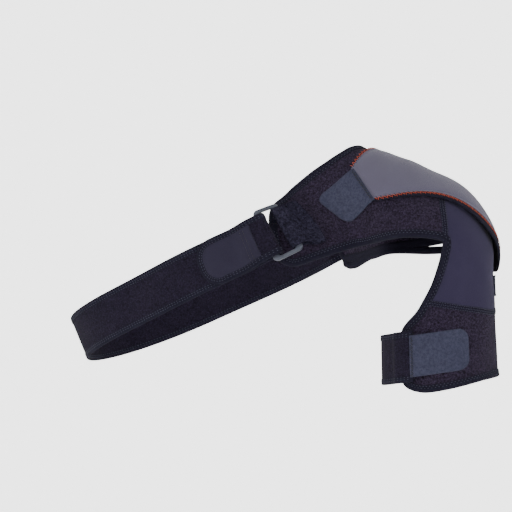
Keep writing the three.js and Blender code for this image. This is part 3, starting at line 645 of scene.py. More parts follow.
def thread(name, colour, roughness):
    """Twisted polyester thread, with a slight strand pattern across it."""
    material, tree = new_material(name)
    strands = noise(tree, own_place(tree), 1500.0, 1.0)
    dark = tuple(value * 0.6 for value in colour[:3]) + (1.0,)
    mixed = node(
        tree, "ShaderNodeMix", [("Factor", strands), (6, dark), (7, colour)], data_type="RGBA"
    )
    surfaced(
        tree, mixed.outputs[2], roughness, (strands, 0.4, 0.0002),
        [("Sheen Weight", 0.02), ("Specular IOR Level", 0.1)],
    )
    return material


def zigzag(length, pitch, across, slant, height, start=0.0):
    """Rows of stitches that lean one way and then the other."""
    count = int((length - start) / pitch)
    return [
        (start + (k + 0.5) * pitch, across, slant if k % 2 else -slant, height)
        for k in range(count)
    ]


black_thread = thread("black_thread", linear(42, 43, 54), 0.8)
STITCH_PITCH, STITCH_SLANT, BINDING_STITCH = 3.2, 12, (1.6, 0.75, 0.6)
binding_rows = [
    row for across, start in ((4.7, 3), (2.8, 4.6))
    for row in zigzag(
        binding_length - 6, STITCH_PITCH, across, STITCH_SLANT, PANEL_TOP + 0.65, start
    )
]
binding_stitches = sewn(
    "edge_binding_stitches", binding_chart, binding_rows, BINDING_STITCH, black_thread
)

# Panel seams.
# The panels meet edge to edge in flat seams, each covered by a narrow strip of flat-seam
# thread: two needle lines with slanted threads between them.
seam_rows = {"shoulder_seam": shoulder_seam, "cuff_seam": cuff_seam}
seam_cloth = cloth(
    "seam_cover", knit, linear(9, 8, 15), linear(23, 21, 33), BLACK_WORN,
    0.85, 0.4, 0.02, [("Rib width", 1.0), ("Course width", 1.0)],
)
SEAM_HALF, SEAM_ENDS, SEAM_STITCH = 2.6, 4.5, (2.0, 0.55, 0.45)
for name, run in seam_rows.items():
    seam_chart, seam_length = edge_chart(run, corner=2)

    def seam_place(across, along, side, chart=seam_chart, length=seam_length):
        reach = SEAM_ENDS + across * (length - 2 * SEAM_ENDS)
        into = (along * 2 - 1) * SEAM_HALF
        crown = 0.55 - 0.35 * np.abs(along * 2 - 1) ** 4
        return chart(reach, into, PANEL_TOP + 0.03 + side * crown)

    cover = closed_sheet(
        name + "_cover", int(seam_length / 1.6), 10, seam_place, (seam_length, 6), seam_cloth
    )
    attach(cover, "root")
    seam_stitches = sewn(
        name + "_stitches", seam_chart,
        zigzag(seam_length - 5, 2.2, 2.0, 12, PANEL_TOP + 0.5, 5)
        + zigzag(seam_length - 5, 2.2, -2.0, 12, PANEL_TOP + 0.5, 6)
        + zigzag(seam_length - 5, 1.6, 0, 65, PANEL_TOP + 0.6, 5),
        SEAM_STITCH, black_thread,
    )

# Shoulder flap.
# A black foam-backed layer over the top of the shoulder with a grey cover sewn on it, a few
# millimetres in from its edge, by a wide orange zigzag. It stands slightly off at its side.
FLAP_OUTER = [
    (-0.121, -0.51, -0.108), (-0.026, -0.495, -0.094), (0.045, -0.47, -0.088),
    (0.147, -0.397, -0.092), (0.216, -0.319, -0.114), (0.284, -0.211, -0.16),
    (0.345, -0.088, -0.24), (0.368, 0.069, -0.335), (0.348, 0.25, -0.435),
    (0.29, 0.4, -0.44), (0.22, 0.49, -0.35), (0.15, 0.53, -0.26), (0.06, 0.53, -0.19),
    (-0.03, 0.52, -0.145), (-0.121, 0.49, -0.125),
]
FLAP_INNER = [
    (-0.28, -0.37, 0.036), (-0.27, -0.24, 0.086), (-0.26, 0, 0.1), (-0.27, 0.22, 0.08),
    (-0.28, 0.36, 0.025),
]
FLAP_COUNT, FLAP_ROWS, FLAP_LIFT = 22, 11, 3.5
FLAP_LOW, FLAP_TOP, COVER_TOP = 5.7, 8.1, 9.3
FLAP_SPAN, FLAP_WIDE, COVER_WIDE = 240, 95, 88
flap_outer = trace(FLAP_OUTER, FLAP_COUNT)
flap_inner = trace(FLAP_INNER, FLAP_COUNT)
flap_ends = [trace([FLAP_OUTER[k], FLAP_INNER[k]], FLAP_ROWS) for k in (0, -1)]
flap_grid = evened(flap_outer, flap_inner, *flap_ends)


def flap_chart(across, along, height):
    """Place over the flap by its two shares, standing off the body along its outer edge."""
    stand = FLAP_LIFT * np.sin(np.pi * np.clip(across, 0, 1)) ** 2 * (1 - along) ** 3
    return laid(smooth_at(flap_grid, across, along), height + stand)


def crowded(shares, power):
    """Shares drawn towards both ends, for more rows along the edges."""
    bent = np.clip(2 * shares - 1, -1, 1)
    return 0.5 + 0.5 * np.sign(bent) * (1 - (1 - np.abs(bent)) ** power)


def flap_base_place(across, along, side):
    across, along = crowded(across, 1.3), crowded(along, 1.5)
    edge = np.minimum(
        np.minimum(along, 1 - along) * FLAP_WIDE, np.minimum(across, 1 - across) * FLAP_SPAN
    )
    round_off = 0.8 * (1 - np.clip(edge / 1.6, 0, 1)) ** 2
    height = FLAP_LOW + round_off + (FLAP_TOP - FLAP_LOW - 2 * round_off) * side
    return flap_chart(across, along, height)


flap_base = closed_sheet("flap_base_cloth", 170, 64, flap_base_place, (250, 95), edge_tape)
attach(flap_base, "root")
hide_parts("flap_base")

COVER_LOW_SHARE, COVER_HIGH_SHARE = 0.072, 0.963


def cover_along(along):
    return COVER_LOW_SHARE + (COVER_HIGH_SHARE - COVER_LOW_SHARE) * along


def cover_place(across, along, side):
    across, along = crowded(across, 1.3), crowded(along, 1.5)
    low_edge, high_edge = along * COVER_WIDE, (1 - along) * COVER_WIDE
    ends = np.minimum(across, 1 - across) * FLAP_SPAN
    near = np.minimum(np.minimum(low_edge, high_edge), ends)
    puff = 0.55 * ease((near - 1.5) / 9) - 0.35 * np.exp(-((near - 2.4) / 1.1) ** 2)
    edge = 0.3 * (1 - np.clip(near / 0.8, 0, 1)) ** 2
    height = FLAP_TOP + 0.05 + side * (COVER_TOP - 0.4 - FLAP_TOP + puff - edge)
    return flap_chart(across, cover_along(along), height)


flap_cloth = cloth(
    "flap_cloth", knit, linear(52, 50, 60), linear(68, 65, 78), (0.9, 0.89, 0.9, 1),
    0.85, 0.22, 0.1, [("Rib width", 1.0), ("Course width", 0.8)],
)
flap_cover = closed_sheet("flap_cover_cloth", 200, 80, cover_place, (240, 88), flap_cloth)
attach(flap_cover, "root")
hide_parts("flap_cover")


def line_chart(chart, places, height_of):
    """Chart along a line of a chart: distance along it, distance across it, and height."""
    points = chart(places[:, 0], places[:, 1], height_of)
    stations = arc_lengths(points)
    step = 1e-3
    widths = [
        np.linalg.norm(chart(places[:, 0] + a, places[:, 1] + b, height_of) - points, axis=1)
        for a, b in ((step, 0), (0, step))
    ]
    ahead = np.gradient(places, axis=0)
    per_mm = ahead / np.gradient(stations)[:, None]
    sizes = np.stack(widths, -1) / step
    way = unit(per_mm * sizes)
    left = np.stack([-way[:, 1], way[:, 0]], -1) / sizes

    def placed(along, across, height):
        run_over = along - np.clip(along, 0, stations[-1])
        at = (
            read_off(places, stations, along)
            + read_off(left, stations, along) * across[:, None]
            + read_off(per_mm, stations, along) * run_over[:, None]
        )
        return chart(*at.T, height)

    return placed, stations[-1]


dark_thread = thread("dark_thread", linear(13, 12, 17), 0.6)
orange_thread = thread("orange_thread", linear(150, 62, 40), 0.7)
across_line = np.linspace(0.004, 0.996, 160)
ZIGZAG_PITCH, ZIGZAG_HEIGHT, ZIGZAG_SLANT, LOCK_OFF = 2.25, FLAP_TOP + 0.55, 61, 1.7
ZIGZAG_STROKE, LOCK_STITCH = (4.5, 0.5, 0.5), (1.2, 0.9, 0.7)
for name, level, lean in (
    ("outer", COVER_LOW_SHARE - 0.02, 1), ("inner", COVER_HIGH_SHARE + 0.014, -1),
):
    edge_line = np.stack([across_line, np.full(len(across_line), level)], -1)
    chart, length = line_chart(flap_chart, edge_line, COVER_TOP)
    stitches = sewn(
        "flap_%s_zigzag" % name, chart,
        zigzag(length - 2, ZIGZAG_PITCH, 0, ZIGZAG_SLANT, ZIGZAG_HEIGHT, 1),
        ZIGZAG_STROKE, orange_thread,
    )
    locks = sewn(
        "flap_%s_lock_stitches" % name, chart,
        zigzag(length - 2, 2 * ZIGZAG_PITCH, LOCK_OFF * lean, 0, ZIGZAG_HEIGHT + 0.1, 1)
        + zigzag(length - 2, 2 * ZIGZAG_PITCH, -LOCK_OFF * lean, 0, ZIGZAG_HEIGHT - 0.3, 3.25),
        LOCK_STITCH, dark_thread,
    )

# Flap tabs.
# A felt-faced grip tab at each end of the flap, sewn to the flap's end by a black zigzag and
# pressed on the looped cloth of its wing. The tip has rounded corners.
TAB_TIP = [(-0.272, -0.57, -0.213), (-0.458, -0.54, -0.085)]
TAB_LOW, TAB_THICK, TAB_CORNER, TAB_FALL = PANEL_TOP + 0.15, 1.5, 10.5, 0.45
TAB_SIDES, TAB_TUCK, TAB_STITCH = (0.02, 0.93), 1.2, (3.2, 0.75, 0.7)


def tab_half(from_tip, width, corner):
    """Half the width of a rounded end at distances from its tip."""
    inside = np.clip(corner - from_tip, 0, corner)
    return width / 2 - corner + np.sqrt(corner**2 - inside**2)


def pillowed(edge, side, low, thick, roundness=0.7):
    """Height through a thin sheet whose edges are rounded, by distance from its edge."""
    off = roundness * (1 - np.sqrt(1 - (1 - np.clip(edge / roundness, 0, 1)) ** 2))
    off = np.minimum(off, thick * 0.42)
    return low + off + (thick - 2 * off) * side


def crowded_end(shares, power=1.6):
    """Shares drawn towards the far end, for more rows on a rounded tip."""
    return 1 - (1 - shares) ** power


def tab_spot(across, along, length, width, corner):
    """Reach, distance off the middle line and distance from the edge of a rounded tab."""
    reach = length * crowded_end(along)
    half = tab_half(length - reach, width, corner)
    off = (crowded(across, 1.4) - 0.5) * 2 * half
    return reach, off, np.minimum(half - np.abs(off), length - reach)


tab_cloth = cloth(
    "tab_cloth", pile, linear(31, 32, 43), linear(44, 45, 58), (0.92, 0.92, 0.94, 1),
    0.9, 0.25, 0.03, [("Loops", 1500.0), ("Clumps", 420.0)],
)
for place_name, flip, end_row in (("back", 1, 0), ("front", -1, -1)):
    end_points = settle(place_of([FLAP_OUTER[end_row], FLAP_INNER[end_row]]))[0]
    tip_points = settle(place_of([(x, y * flip, z) for x, y, z in TAB_TIP]))[0]
    near = [end_points[0] + (end_points[1] - end_points[0]) * share for share in TAB_SIDES]
    tab_width = np.linalg.norm(near[1] - near[0])
    tab_length = np.linalg.norm(tip_points[0] - near[0])

    def tab_chart(reach, off, height, near=near, tip=tip_points, w=tab_width, length=tab_length):
        """Place on the tab: distance from the flap's end, from its middle line, and height."""
        along = (reach / length)[:, None]
        across = (0.5 + off / w)[:, None]
        base = near[0] + (near[1] - near[0]) * across
        far = tip[0] + (tip[1] - tip[0]) * across
        drop = ease(reach / (TAB_FALL * length))
        lift = (FLAP_TOP - TAB_THICK / 2 + 0.9 - TAB_LOW) * (1 - drop)
        return laid(base + (far - base) * along, height + lift)

    def tab_place(across, along, side, chart=tab_chart, w=tab_width, length=tab_length):
        reach, off, edge = tab_spot(across, along, length, w, TAB_CORNER)
        return chart(reach - TAB_TUCK, off, pillowed(edge, side, TAB_LOW, TAB_THICK))

    tab = closed_sheet("flap_tab_%s_felt" % place_name, 44, 48, tab_place, (44, 42), tab_cloth)
    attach(tab, "root")
    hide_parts("flap_tab_" + place_name)

    def tab_seam(along, across, height, chart=tab_chart, w=tab_width):
        return chart(across, along - w / 2, height)

    seam = sewn(
        "flap_tab_%s_zigzag" % place_name, tab_seam,
        zigzag(tab_width - 1, 1.6, 0.6, 58, TAB_LOW + TAB_THICK + 0.1, 0.5),
        TAB_STITCH, dark_thread,
    )

# Chest strap.
# A loop-faced strap with bound edges, sewn on the front wing. It goes round the chest, through
# the ring from behind and back over itself, where its rounded grip end is pressed on.
STRAP_TILT, RING_TURN, STRAP_END_TURN = np.radians(23.6), -43.5, 28.0
STRAP_MIDDLE = place_of((-1, 0, -0.445))
STRAP_WIDTH, STRAP_THICK, FOLD_LENGTH, TIP_RADIUS, SEWN_LENGTH = 45.0, 3.0, 70.0, 19.0, 40.0
RING_BAR, RING_SLACK, RING_THICK, RING_LENGTH, RING_WIDTH = 5.5, 1.5, 3.0, 56.0, 26.0
CLEAR, STRAP_FALL, SEWN_RISE, BAR_SQUARENESS = 0.42, 30.0, 12.0, 0.7
TAPE_CREST = 6.32
STRAP_REST, STRAP_OVER_TAPE = CLEAR + STRAP_THICK / 2, TAPE_CREST + CLEAR + STRAP_THICK / 2
BAR_MIDDLE = STRAP_OVER_TAPE + STRAP_THICK / 2 + CLEAR + RING_THICK / 2


def cast(origins, ways, distance, passes=80):
    """First points of the form met when coming in along rays, with their normals."""
    reach = np.full(len(origins), 2.2 * REACH)
    for _ in range(passes):
        reach -= 0.8 * distance(origins + ways * reach[:, None])
    points = origins + ways * reach[:, None]
    return points, outward(points, distance)[0]


def band_seat(turn, across):
    turn = np.radians(turn)
    axis = np.array([-np.sin(STRAP_TILT), 0, np.cos(STRAP_TILT)])
    origins = STRAP_MIDDLE + across[:, None] * axis
    level = np.cos(turn)
    ways = np.stack(
        [level * np.cos(STRAP_TILT), np.sin(turn), level * np.sin(STRAP_TILT)], -1
    )
    return cast(origins, ways, chest_distance)


band_turns = np.linspace(RING_TURN + 40, STRAP_END_TURN - 380, 181)
band_runs = arc_lengths(band_seat(band_turns, np.zeros(len(band_turns)))[0])


def run_of(turn):
    return np.interp(-turn, -band_turns, band_runs)


bar_run = run_of(RING_TURN) + (RING_WIDTH - RING_BAR) / 2
end_run = run_of(STRAP_END_TURN - 360) - bar_run
fine_runs = np.arange(0, band_runs[-1], 2.0)
fine_turns = np.interp(fine_runs, band_runs, band_turns)
band_points, band_normals = band_seat(fine_turns, np.zeros(len(fine_runs)))
band_edges = [
    band_seat(fine_turns, np.full(len(fine_runs), half))[0]
    for half in (STRAP_WIDTH / 2, -STRAP_WIDTH / 2)
]
band_across = unit(band_edges[0] - band_edges[1])
band_normals = square_to(band_normals, band_across)


def band_point(along, across, height):
    """Place on the strap's band: along from the ring's bar, across, and off the form."""
    seat, way, up = (
        read_off(rows, fine_runs, along + bar_run)
        for rows in (band_points, band_across, band_normals)
    )
    return seat + way * across[:, None] + up * height[:, None]


def strap_height(along):
    near_ring = 1 - ease((along - RING_BAR) / STRAP_FALL)
    near_end = ease((along - (end_run - SEWN_LENGTH - SEWN_RISE)) / SEWN_RISE)
    share = np.maximum(near_ring, near_end)
    return STRAP_REST + (STRAP_OVER_TAPE - STRAP_REST) * share


def squared(parts, power):
    """Sines or cosines of a turn, bent so that the turn's corners are fuller."""
    return np.sign(parts) * np.abs(parts) ** power


def bar_turn(along, way, thick, steps=16):
    """Half a turn round one of the ring's bars, as rows of along and height."""
    rise = RING_THICK / 2 + CLEAR + thick / 2
    reach = RING_BAR / 2 + RING_SLACK + thick / 2
    turn = np.radians(np.linspace(-90, 90, steps + 1))
    out, up = squared(np.cos(turn), BAR_SQUARENESS), squared(np.sin(turn), BAR_SQUARENESS)
    return np.stack([along + way * reach * out, BAR_MIDDLE + rise * up], -1)


def path_chart(rows, place):
    """Chart on a strap seen edge on: distance along its path, across it, and off its middle."""
    stations = arc_lengths(rows)
    normals = leftward(np.gradient(rows, axis=0))

    def chart(along, across, out):
        at = read_off(rows, stations, along) + read_off(normals, stations, along) * out[:, None]
        return place(at[:, 0], across, at[:, 1])

    return chart, stations


long_along = np.linspace(end_run, RING_BAR, int(end_run / 3))
fold_along = np.linspace(RING_BAR, FOLD_LENGTH, 30)
over_bar = BAR_MIDDLE + RING_THICK / 2 + CLEAR + STRAP_THICK / 2
fold_seat = strap_height(fold_along) + STRAP_THICK + CLEAR
fold_height = over_bar + (fold_seat - over_bar) * ease(fold_along / STRAP_FALL)
strap_rows = np.concatenate([
    np.stack([long_along, strap_height(long_along)], -1),
    bar_turn(0, -1, STRAP_THICK),
    np.stack([fold_along, fold_height], -1),
])
strap_chart, strap_stations = path_chart(strap_rows, band_point)
strap_length = strap_stations[-1]
fold_start = strap_length - (FOLD_LENGTH - RING_BAR)
CORE_INSET, CORE_HALF, CORE_SWELL = 1.2, 0.75, 0.35


def core_height(along, side):
    """Height through a strap's core, which swells between its bound edges."""
    return (side - 0.5) * 2 * (CORE_HALF + CORE_SWELL * (1 - (2 * along - 1) ** 4))


def strap_place(across, along, side):
    count = len(strap_stations) - 1
    reach = strap_stations[np.rint(across * count).astype(int)]
    half = tab_half(strap_length - reach, STRAP_WIDTH, TIP_RADIUS) - CORE_INSET
    off = (along - 0.5) * 2 * half
    reach = np.minimum(reach, strap_length - CORE_INSET)
    return strap_chart(reach, off, core_height(along, side))


strap_pile = cloth(
    "strap_pile", pile, linear(8, 7, 12), linear(29, 25, 37), BLACK_WORN,
    0.95, 0.8, 0.02, [("Loops", 1100.0), ("Clumps", 520.0)],
)
chest_strap = closed_sheet(
    "chest_strap_web", len(strap_stations) - 1, 26, strap_place, (strap_length, 43), strap_pile
)
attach(chest_strap, "root")
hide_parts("chest_strap")

STRAP_TAPE_THICK = 0.45
STRAP_TAPE = [
    (6.0, 0.95), (5.95, 1.3), (5.5, 1.5), (4.9, 1.35), (4.2, 1.55), (3.5, 1.55), (2.9, 1.35),
    (2.2, 1.5), (1.2, 1.5), (0.5, 1.25), (0.05, 0.75), (-0.1, 0),
    (0.05, -0.75), (0.5, -1.25), (1.2, -1.5), (2.9, -1.4), (4.9, -1.45), (5.5, -1.5),
    (5.95, -1.3), (6.0, -0.95),
]


def rim_chart(chart, rim):
    """Chart along a line drawn on a strap: distance along it, in from it, and off the strap."""
    stations = arc_lengths(rim)
    left = leftward(softened(np.gradient(rim, axis=0), 3))

    def placed(along, into, out):
        at = read_off(rim, stations, along) + read_off(left, stations, along) * into[:, None]
        return chart(*at.T, out)

    return placed, stations[-1]


def rounded_rim(length, width, radius, step=1.6):
    """Line along one edge of a strap, round its tip and back along the other edge."""
    straight = np.linspace(0, length - radius, int(length / step))
    turn = np.radians(np.linspace(-90, 0, 17)[1:])
    low = width / 2 - radius
    corner = np.stack([length - radius + radius * np.cos(turn), -low + radius * np.sin(turn)], -1)
    one = np.concatenate([
        np.stack([straight, np.full(len(straight), -width / 2)], -1), corner,
    ])
    return np.concatenate([one, one[::-1] * (1, -1)])


strap_rim = rounded_rim(strap_length, STRAP_WIDTH, TIP_RADIUS)
strap_edge, strap_edge_length = rim_chart(strap_chart, strap_rim)
strap_tape = closed_sheet(
    "chest_strap_binding", 1200, len(STRAP_TAPE) - 1,
    section_place(strap_edge, strap_edge_length, STRAP_TAPE, STRAP_TAPE_THICK),
    (strap_edge_length, 14), edge_tape,
)
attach(strap_tape, "root")

STRAP_STITCH = (1.6, 0.7, 0.55)


def strap_edge_rows(length):
    """Two rows of stitches in from a strap's edge, on both of its faces."""
    return [
        row for across in (4.9, 2.9) for height in (1.4, -1.45)
        for row in zigzag(length, STITCH_PITCH, across, STITCH_SLANT, height)
    ]


strap_stitches = sewn(
    "chest_strap_stitches", strap_edge, strap_edge_rows(strap_edge_length),
    STRAP_STITCH, black_thread,
)

# Strap end pad.
# The smooth back of the grip sewn inside the bound edge of the strap's folded end, with two
# rows of stitches across it near the ring.
PAD_WIDTH, PAD_RADIUS, PAD_START, PAD_END = 33.4, 13.2, 3.0, 5.9
PAD_STITCH_HEIGHT, PAD_STITCH = 2.15, (1.7, 0.7, 0.5)
pad_length = FOLD_LENGTH - RING_BAR - PAD_END - PAD_START


def pad_place(across, along, side):
    reach, off, edge = tab_spot(across, along, pad_length, PAD_WIDTH, PAD_RADIUS)
    swell = 0.5 * ease(edge / 6)
    return strap_chart(
        fold_start + PAD_START + reach, off, 1.0 + side * (0.35 + 0.3 * ease(edge / 0.8) + swell)
    )


pad_cloth = cloth(
    "pad_cloth", knit, linear(24, 22, 31), linear(34, 32, 43), (0.87, 0.87, 0.9, 1),
    0.85, 0.15, 0.02, [("Rib width", 1.0), ("Course width", 1.0)],
)
strap_pad = closed_sheet("strap_end_pad_cloth", 40, 60, pad_place, (34, 56), pad_cloth)
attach(strap_pad, "root")
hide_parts("strap_end_pad")


def pad_line(along, across, height):
    return strap_chart(fold_start + across, along - PAD_WIDTH / 2, height)


pad_stitches = sewn(
    "strap_end_pad_stitches", pad_line,
    zigzag(PAD_WIDTH, 2.6, 9.5, 0, PAD_STITCH_HEIGHT)
    + zigzag(PAD_WIDTH, 2.6, 13.0, 0, PAD_STITCH_HEIGHT),
    PAD_STITCH, dark_thread,
)

# Ring.
# A moulded rectangular ring of smoke-grey plastic with rounded bars. The strap runs over its
# left bar and the pull strap is looped round its right bar.
RING_END, RING_CORNER = 4.0, 5.0


def frame_line(length, width, corner, turn_steps=8, side_steps=8):
    """Closed rounded rectangle, starting in the middle of one long side."""
    points = []
    for across, along, start in ((1, 1, 0), (-1, 1, 90), (-1, -1, 180), (1, -1, 270)):
        turn = np.radians(start + np.linspace(0, 90, turn_steps + 1))
        points.append(np.stack([
            across * (width / 2 - corner) + corner * np.cos(turn),
            along * (length / 2 - corner) + corner * np.sin(turn),
        ], -1))
    line = []
    for run, after in zip(points, points[1:] + points[:1]):
        line.append(run)
        share = np.linspace(0, 1, side_steps + 1)[1:-1, None]
        line.append(run[-1] + (after[0] - run[-1]) * share)
    return np.concatenate([*line, points[0][:1]])


ring_out = frame_line(RING_LENGTH, RING_WIDTH, RING_CORNER)
ring_in = frame_line(RING_LENGTH - 2 * RING_END, RING_WIDTH - 2 * RING_BAR, RING_CORNER / 2)
RING_ROWS, RING_SQUARENESS = 20, 0.75
bm = bmesh.new()
bmesh.ops.create_grid(bm, x_segments=len(ring_out) - 1, y_segments=RING_ROWS, size=0.5)
flat_places = np.array([vert.co for vert in bm.verts]) + 0.5
station = np.rint(flat_places[:, 0] * (len(ring_out) - 1)).astype(int)
turn = 2 * np.pi * flat_places[:, 1]
wide, high = (squared(part, RING_SQUARENESS) for part in (np.cos(turn), np.sin(turn)))
middle = (ring_out[station] + ring_in[station]) / 2
spot = middle + (ring_out[station] - ring_in[station]) / 2 * wide[:, None]
placed = band_point(
    spot[:, 0] - (RING_WIDTH - RING_BAR) / 2, spot[:, 1], BAR_MIDDLE + RING_THICK / 2 * high
)
for vert, point in zip(bm.verts, placed / 1000):
    vert.co = point
bmesh.ops.remove_doubles(bm, verts=bm.verts[:], dist=2e-5)
bmesh.ops.recalc_face_normals(bm, faces=bm.faces[:])
for face in bm.faces:
    face.smooth = True
smoke, tree = new_material("ring_plastic")
wear = node(tree, "ShaderNodeGroup", node_tree=handling)
wear.inputs["Size"].default_value = 60.0
tint = node(
    tree, "ShaderNodeMix",
    [("Factor", wear.outputs["Tone"]), (6, linear(34, 36, 44)), (7, linear(48, 51, 60))],
    data_type="RGBA",
)
fine = noise(tree, own_place(tree), 700.0, 2.0)
surfaced(
    tree, tint.outputs[2], spread(tree, wear.outputs["Tone"], end=(0.38, 0.55)),
    (fine, 0.12, 0.0002), [("Specular IOR Level", 0.2), ("Coat Weight", 0.03)],
)
ring = linked("ring_frame", meshed("ring_frame", bm, smoke))
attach(ring, "root")
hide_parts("ring")

# Ring pull.
# A short strap of deep pile folded round the ring's right bar and sewn down on the back wing,
# its soft open end towards the flap tab.
PULL_WIDTH, PULL_LENGTH, PULL_THICK, PULL_FALL = 46.0, 25.0, 1.6, 14.0
PULL_REST = TAPE_CREST + CLEAR + PULL_THICK / 2
pull_bar = -(RING_WIDTH - RING_BAR)
pull_end = pull_bar - PULL_LENGTH


def pull_point(along, across, height):
    """Place on the band, which follows the form across as well once past the ring's bar."""
    flat_place = band_point(along, across, height)
    turn = np.interp(along + bar_run, band_runs, band_turns)
    seat, normal = band_seat(turn, across)
    follow = ease((pull_bar - along - RING_BAR) / PULL_FALL)[:, None]
    return flat_place * (1 - follow) + (seat + normal * height[:, None]) * follow


low_along = np.linspace(pull_end, pull_bar, 16)[:-1]
high_along = np.linspace(pull_bar, pull_end, 24)[1:]
over_bar = BAR_MIDDLE + RING_THICK / 2 + CLEAR + PULL_THICK / 2
pull_drop = ease((pull_bar - high_along - RING_BAR / 2) / PULL_FALL)
pull_rows = np.concatenate([
    np.stack([low_along, np.full(len(low_along), PULL_REST)], -1),
    bar_turn(pull_bar, 1, PULL_THICK),
    np.stack([
        high_along, over_bar + (PULL_REST + PULL_THICK + CLEAR - over_bar) * pull_drop
    ], -1),
])
pull_chart, pull_stations = path_chart(pull_rows, pull_point)


def pull_place(across, along, side):
    reach = pull_stations[np.rint(across * (len(pull_stations) - 1)).astype(int)]
    off = (crowded(along, 1.5) - 0.5) * PULL_WIDTH
    edge = np.minimum(PULL_WIDTH / 2 - np.abs(off), pull_stations[-1] - reach)
    height = pillowed(edge, side, -0.95, 1.9, 0.9)
    wander = 0.35 * np.sin(reach / 3.1 + off / 2.3) * np.sin(off / 4.7)
    return pull_chart(reach + wander * ease(reach / 30), off, height)


pull_pile = cloth(
    "pull_pile", pile, linear(7, 7, 12), linear(37, 35, 47), BLACK_WORN,
    0.95, 0.9, 0.0, [("Loops", 800.0), ("Clumps", 320.0)],
)
ring_pull = closed_sheet(
    "ring_pull_pile", len(pull_stations) - 1, 40, pull_place, (pull_stations[-1], PULL_WIDTH),
    pull_pile,
)
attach(ring_pull, "root")
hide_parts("ring_pull")

# Arm strap.
# A loop-faced strap with bound edges, sewn on the front of the cuff. It goes round the inner
# side of the arm and comes onto the cuff at the back, where its tab is pressed on.
ARM_TILT, ARM_RISE = 0.17, -0.828 * DROP - SEAT_DROP
ARM_FROM, ARM_TO, ARM_WIDTH, ARM_FALL = 84.0, 267.0, 48.0, 12.0
ARM_CUFF_FRONT, ARM_CUFF_BACK = 29.0, 30.0
arm_radius = FORM_LIMBS["arm"][2][0] * DEPTH


def arm_point(turn, rise, height):
    """Place round the arm by turn in degrees, rise in the part's frame, and off the form."""
    start, end, _ = FORM_LIMBS["arm"]
    start, end = place_of(start), place_of(end)
    share = (rise - start[2]) / (end[2] - start[2])
    origins = start + (end - start) * share[:, None]
    angle = np.radians(turn)
    ways = unit(np.stack([np.cos(angle), np.sin(angle), ARM_TILT * np.cos(angle)], -1))
    points, normals = cast(origins, ways, arm_distance, 60)
    return points + normals * height[:, None]


def arm_strap_chart(along, across, out):
    """Place on the arm strap: distance along it, across it, and off its middle."""
    turn = ARM_FROM + np.degrees(along / arm_radius)
    on_cuff = np.maximum(
        1 - ease((turn - ARM_FROM - ARM_CUFF_FRONT) / ARM_FALL),
        ease((turn - ARM_TO + ARM_CUFF_BACK) / ARM_FALL),
    )
    height = STRAP_REST + (STRAP_OVER_TAPE - STRAP_REST) * on_cuff
    return arm_point(turn, ARM_RISE + across, height + out)


arm_length = np.radians(ARM_TO - ARM_FROM) * arm_radius


def arm_strap_place(across, along, side):
    off = (along - 0.5) * (ARM_WIDTH - 2 * CORE_INSET)
    return arm_strap_chart(across * arm_length, off, core_height(along, side))


arm_strap = closed_sheet("arm_strap_web", 76, 26, arm_strap_place, (arm_length, 43), strap_pile)
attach(arm_strap, "root")
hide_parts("arm_strap")

for place_name, flip in (("high", -1), ("low", 1)):
    arm_line = np.stack([
        np.linspace(0, arm_length, 110), np.full(110, -flip * ARM_WIDTH / 2)
    ], -1)
    if flip < 0:
        arm_line = arm_line[::-1]
    arm_edge, arm_edge_length = rim_chart(arm_strap_chart, arm_line)
    arm_tape = closed_sheet(
        "arm_strap_binding_" + place_name, 120, len(STRAP_TAPE) - 1,
        section_place(arm_edge, arm_edge_length, STRAP_TAPE, STRAP_TAPE_THICK),
        (arm_edge_length, 14), edge_tape,
    )
    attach(arm_tape, "root")
    arm_stitches = sewn(
        "arm_strap_stitches_" + place_name, arm_edge, strap_edge_rows(arm_edge_length),
        STRAP_STITCH, black_thread,
    )

# Arm tab.
# A felt-faced grip tab sewn on the back end of the arm strap by a zigzag and pressed on the
# cuff, its far corners rounded.
ARM_TAB_FROM, ARM_TAB_TO, ARM_TAB_WIDTH, ARM_TAB_TUCK = 267.0, 322.0, 39.0, 2.0
arm_tab_length = np.radians(ARM_TAB_TO - ARM_TAB_FROM) * (arm_radius + TAB_LOW)


def arm_tab_chart(reach, off, height):
    turn = ARM_TAB_FROM + (ARM_TAB_TO - ARM_TAB_FROM) * reach / arm_tab_length
    drop = ease(reach / (TAB_FALL * arm_tab_length))
    lift = (STRAP_OVER_TAPE + STRAP_THICK / 2 - TAB_LOW) * (1 - drop)
    return arm_point(turn, ARM_RISE + off, height + lift)


def arm_tab_place(across, along, side):
    reach, off, edge = tab_spot(across, along, arm_tab_length, ARM_TAB_WIDTH, TAB_CORNER)
    height = pillowed(edge, side, TAB_LOW + 0.05, TAB_THICK)
    return arm_tab_chart(reach - ARM_TAB_TUCK, off, height)


arm_tab = closed_sheet("arm_tab_felt", 44, 60, arm_tab_place, (39, 54), tab_cloth)
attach(arm_tab, "root")
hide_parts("arm_tab")


def arm_tab_seam(along, across, height):
    return arm_tab_chart(across, along - ARM_TAB_WIDTH / 2, height)


arm_tab_stitches = sewn(
    "arm_tab_zigzag", arm_tab_seam,
    zigzag(ARM_TAB_WIDTH, 1.7, 0.0, 55, TAB_LOW + TAB_THICK + 0.15), TAB_STITCH, dark_thread,
)

# Side patch.
# A plain felt patch on the outer side of the shoulder panel, its upper and lower edges sewn
# down by a dense black zigzag.
PATCH_FROM, PATCH_TO = 14.0, 62.0
PATCH_HIGH, PATCH_LOW = -0.5 * DROP - SEAT_DROP, -0.6 * DROP - SEAT_DROP
patch_length = np.radians(PATCH_TO - PATCH_FROM) * (arm_radius + PANEL_TOP)


def patch_chart(along, across, height):
    turn = PATCH_FROM + np.degrees(along / (arm_radius + PANEL_TOP))
    return arm_point(turn, PATCH_LOW + across, height)


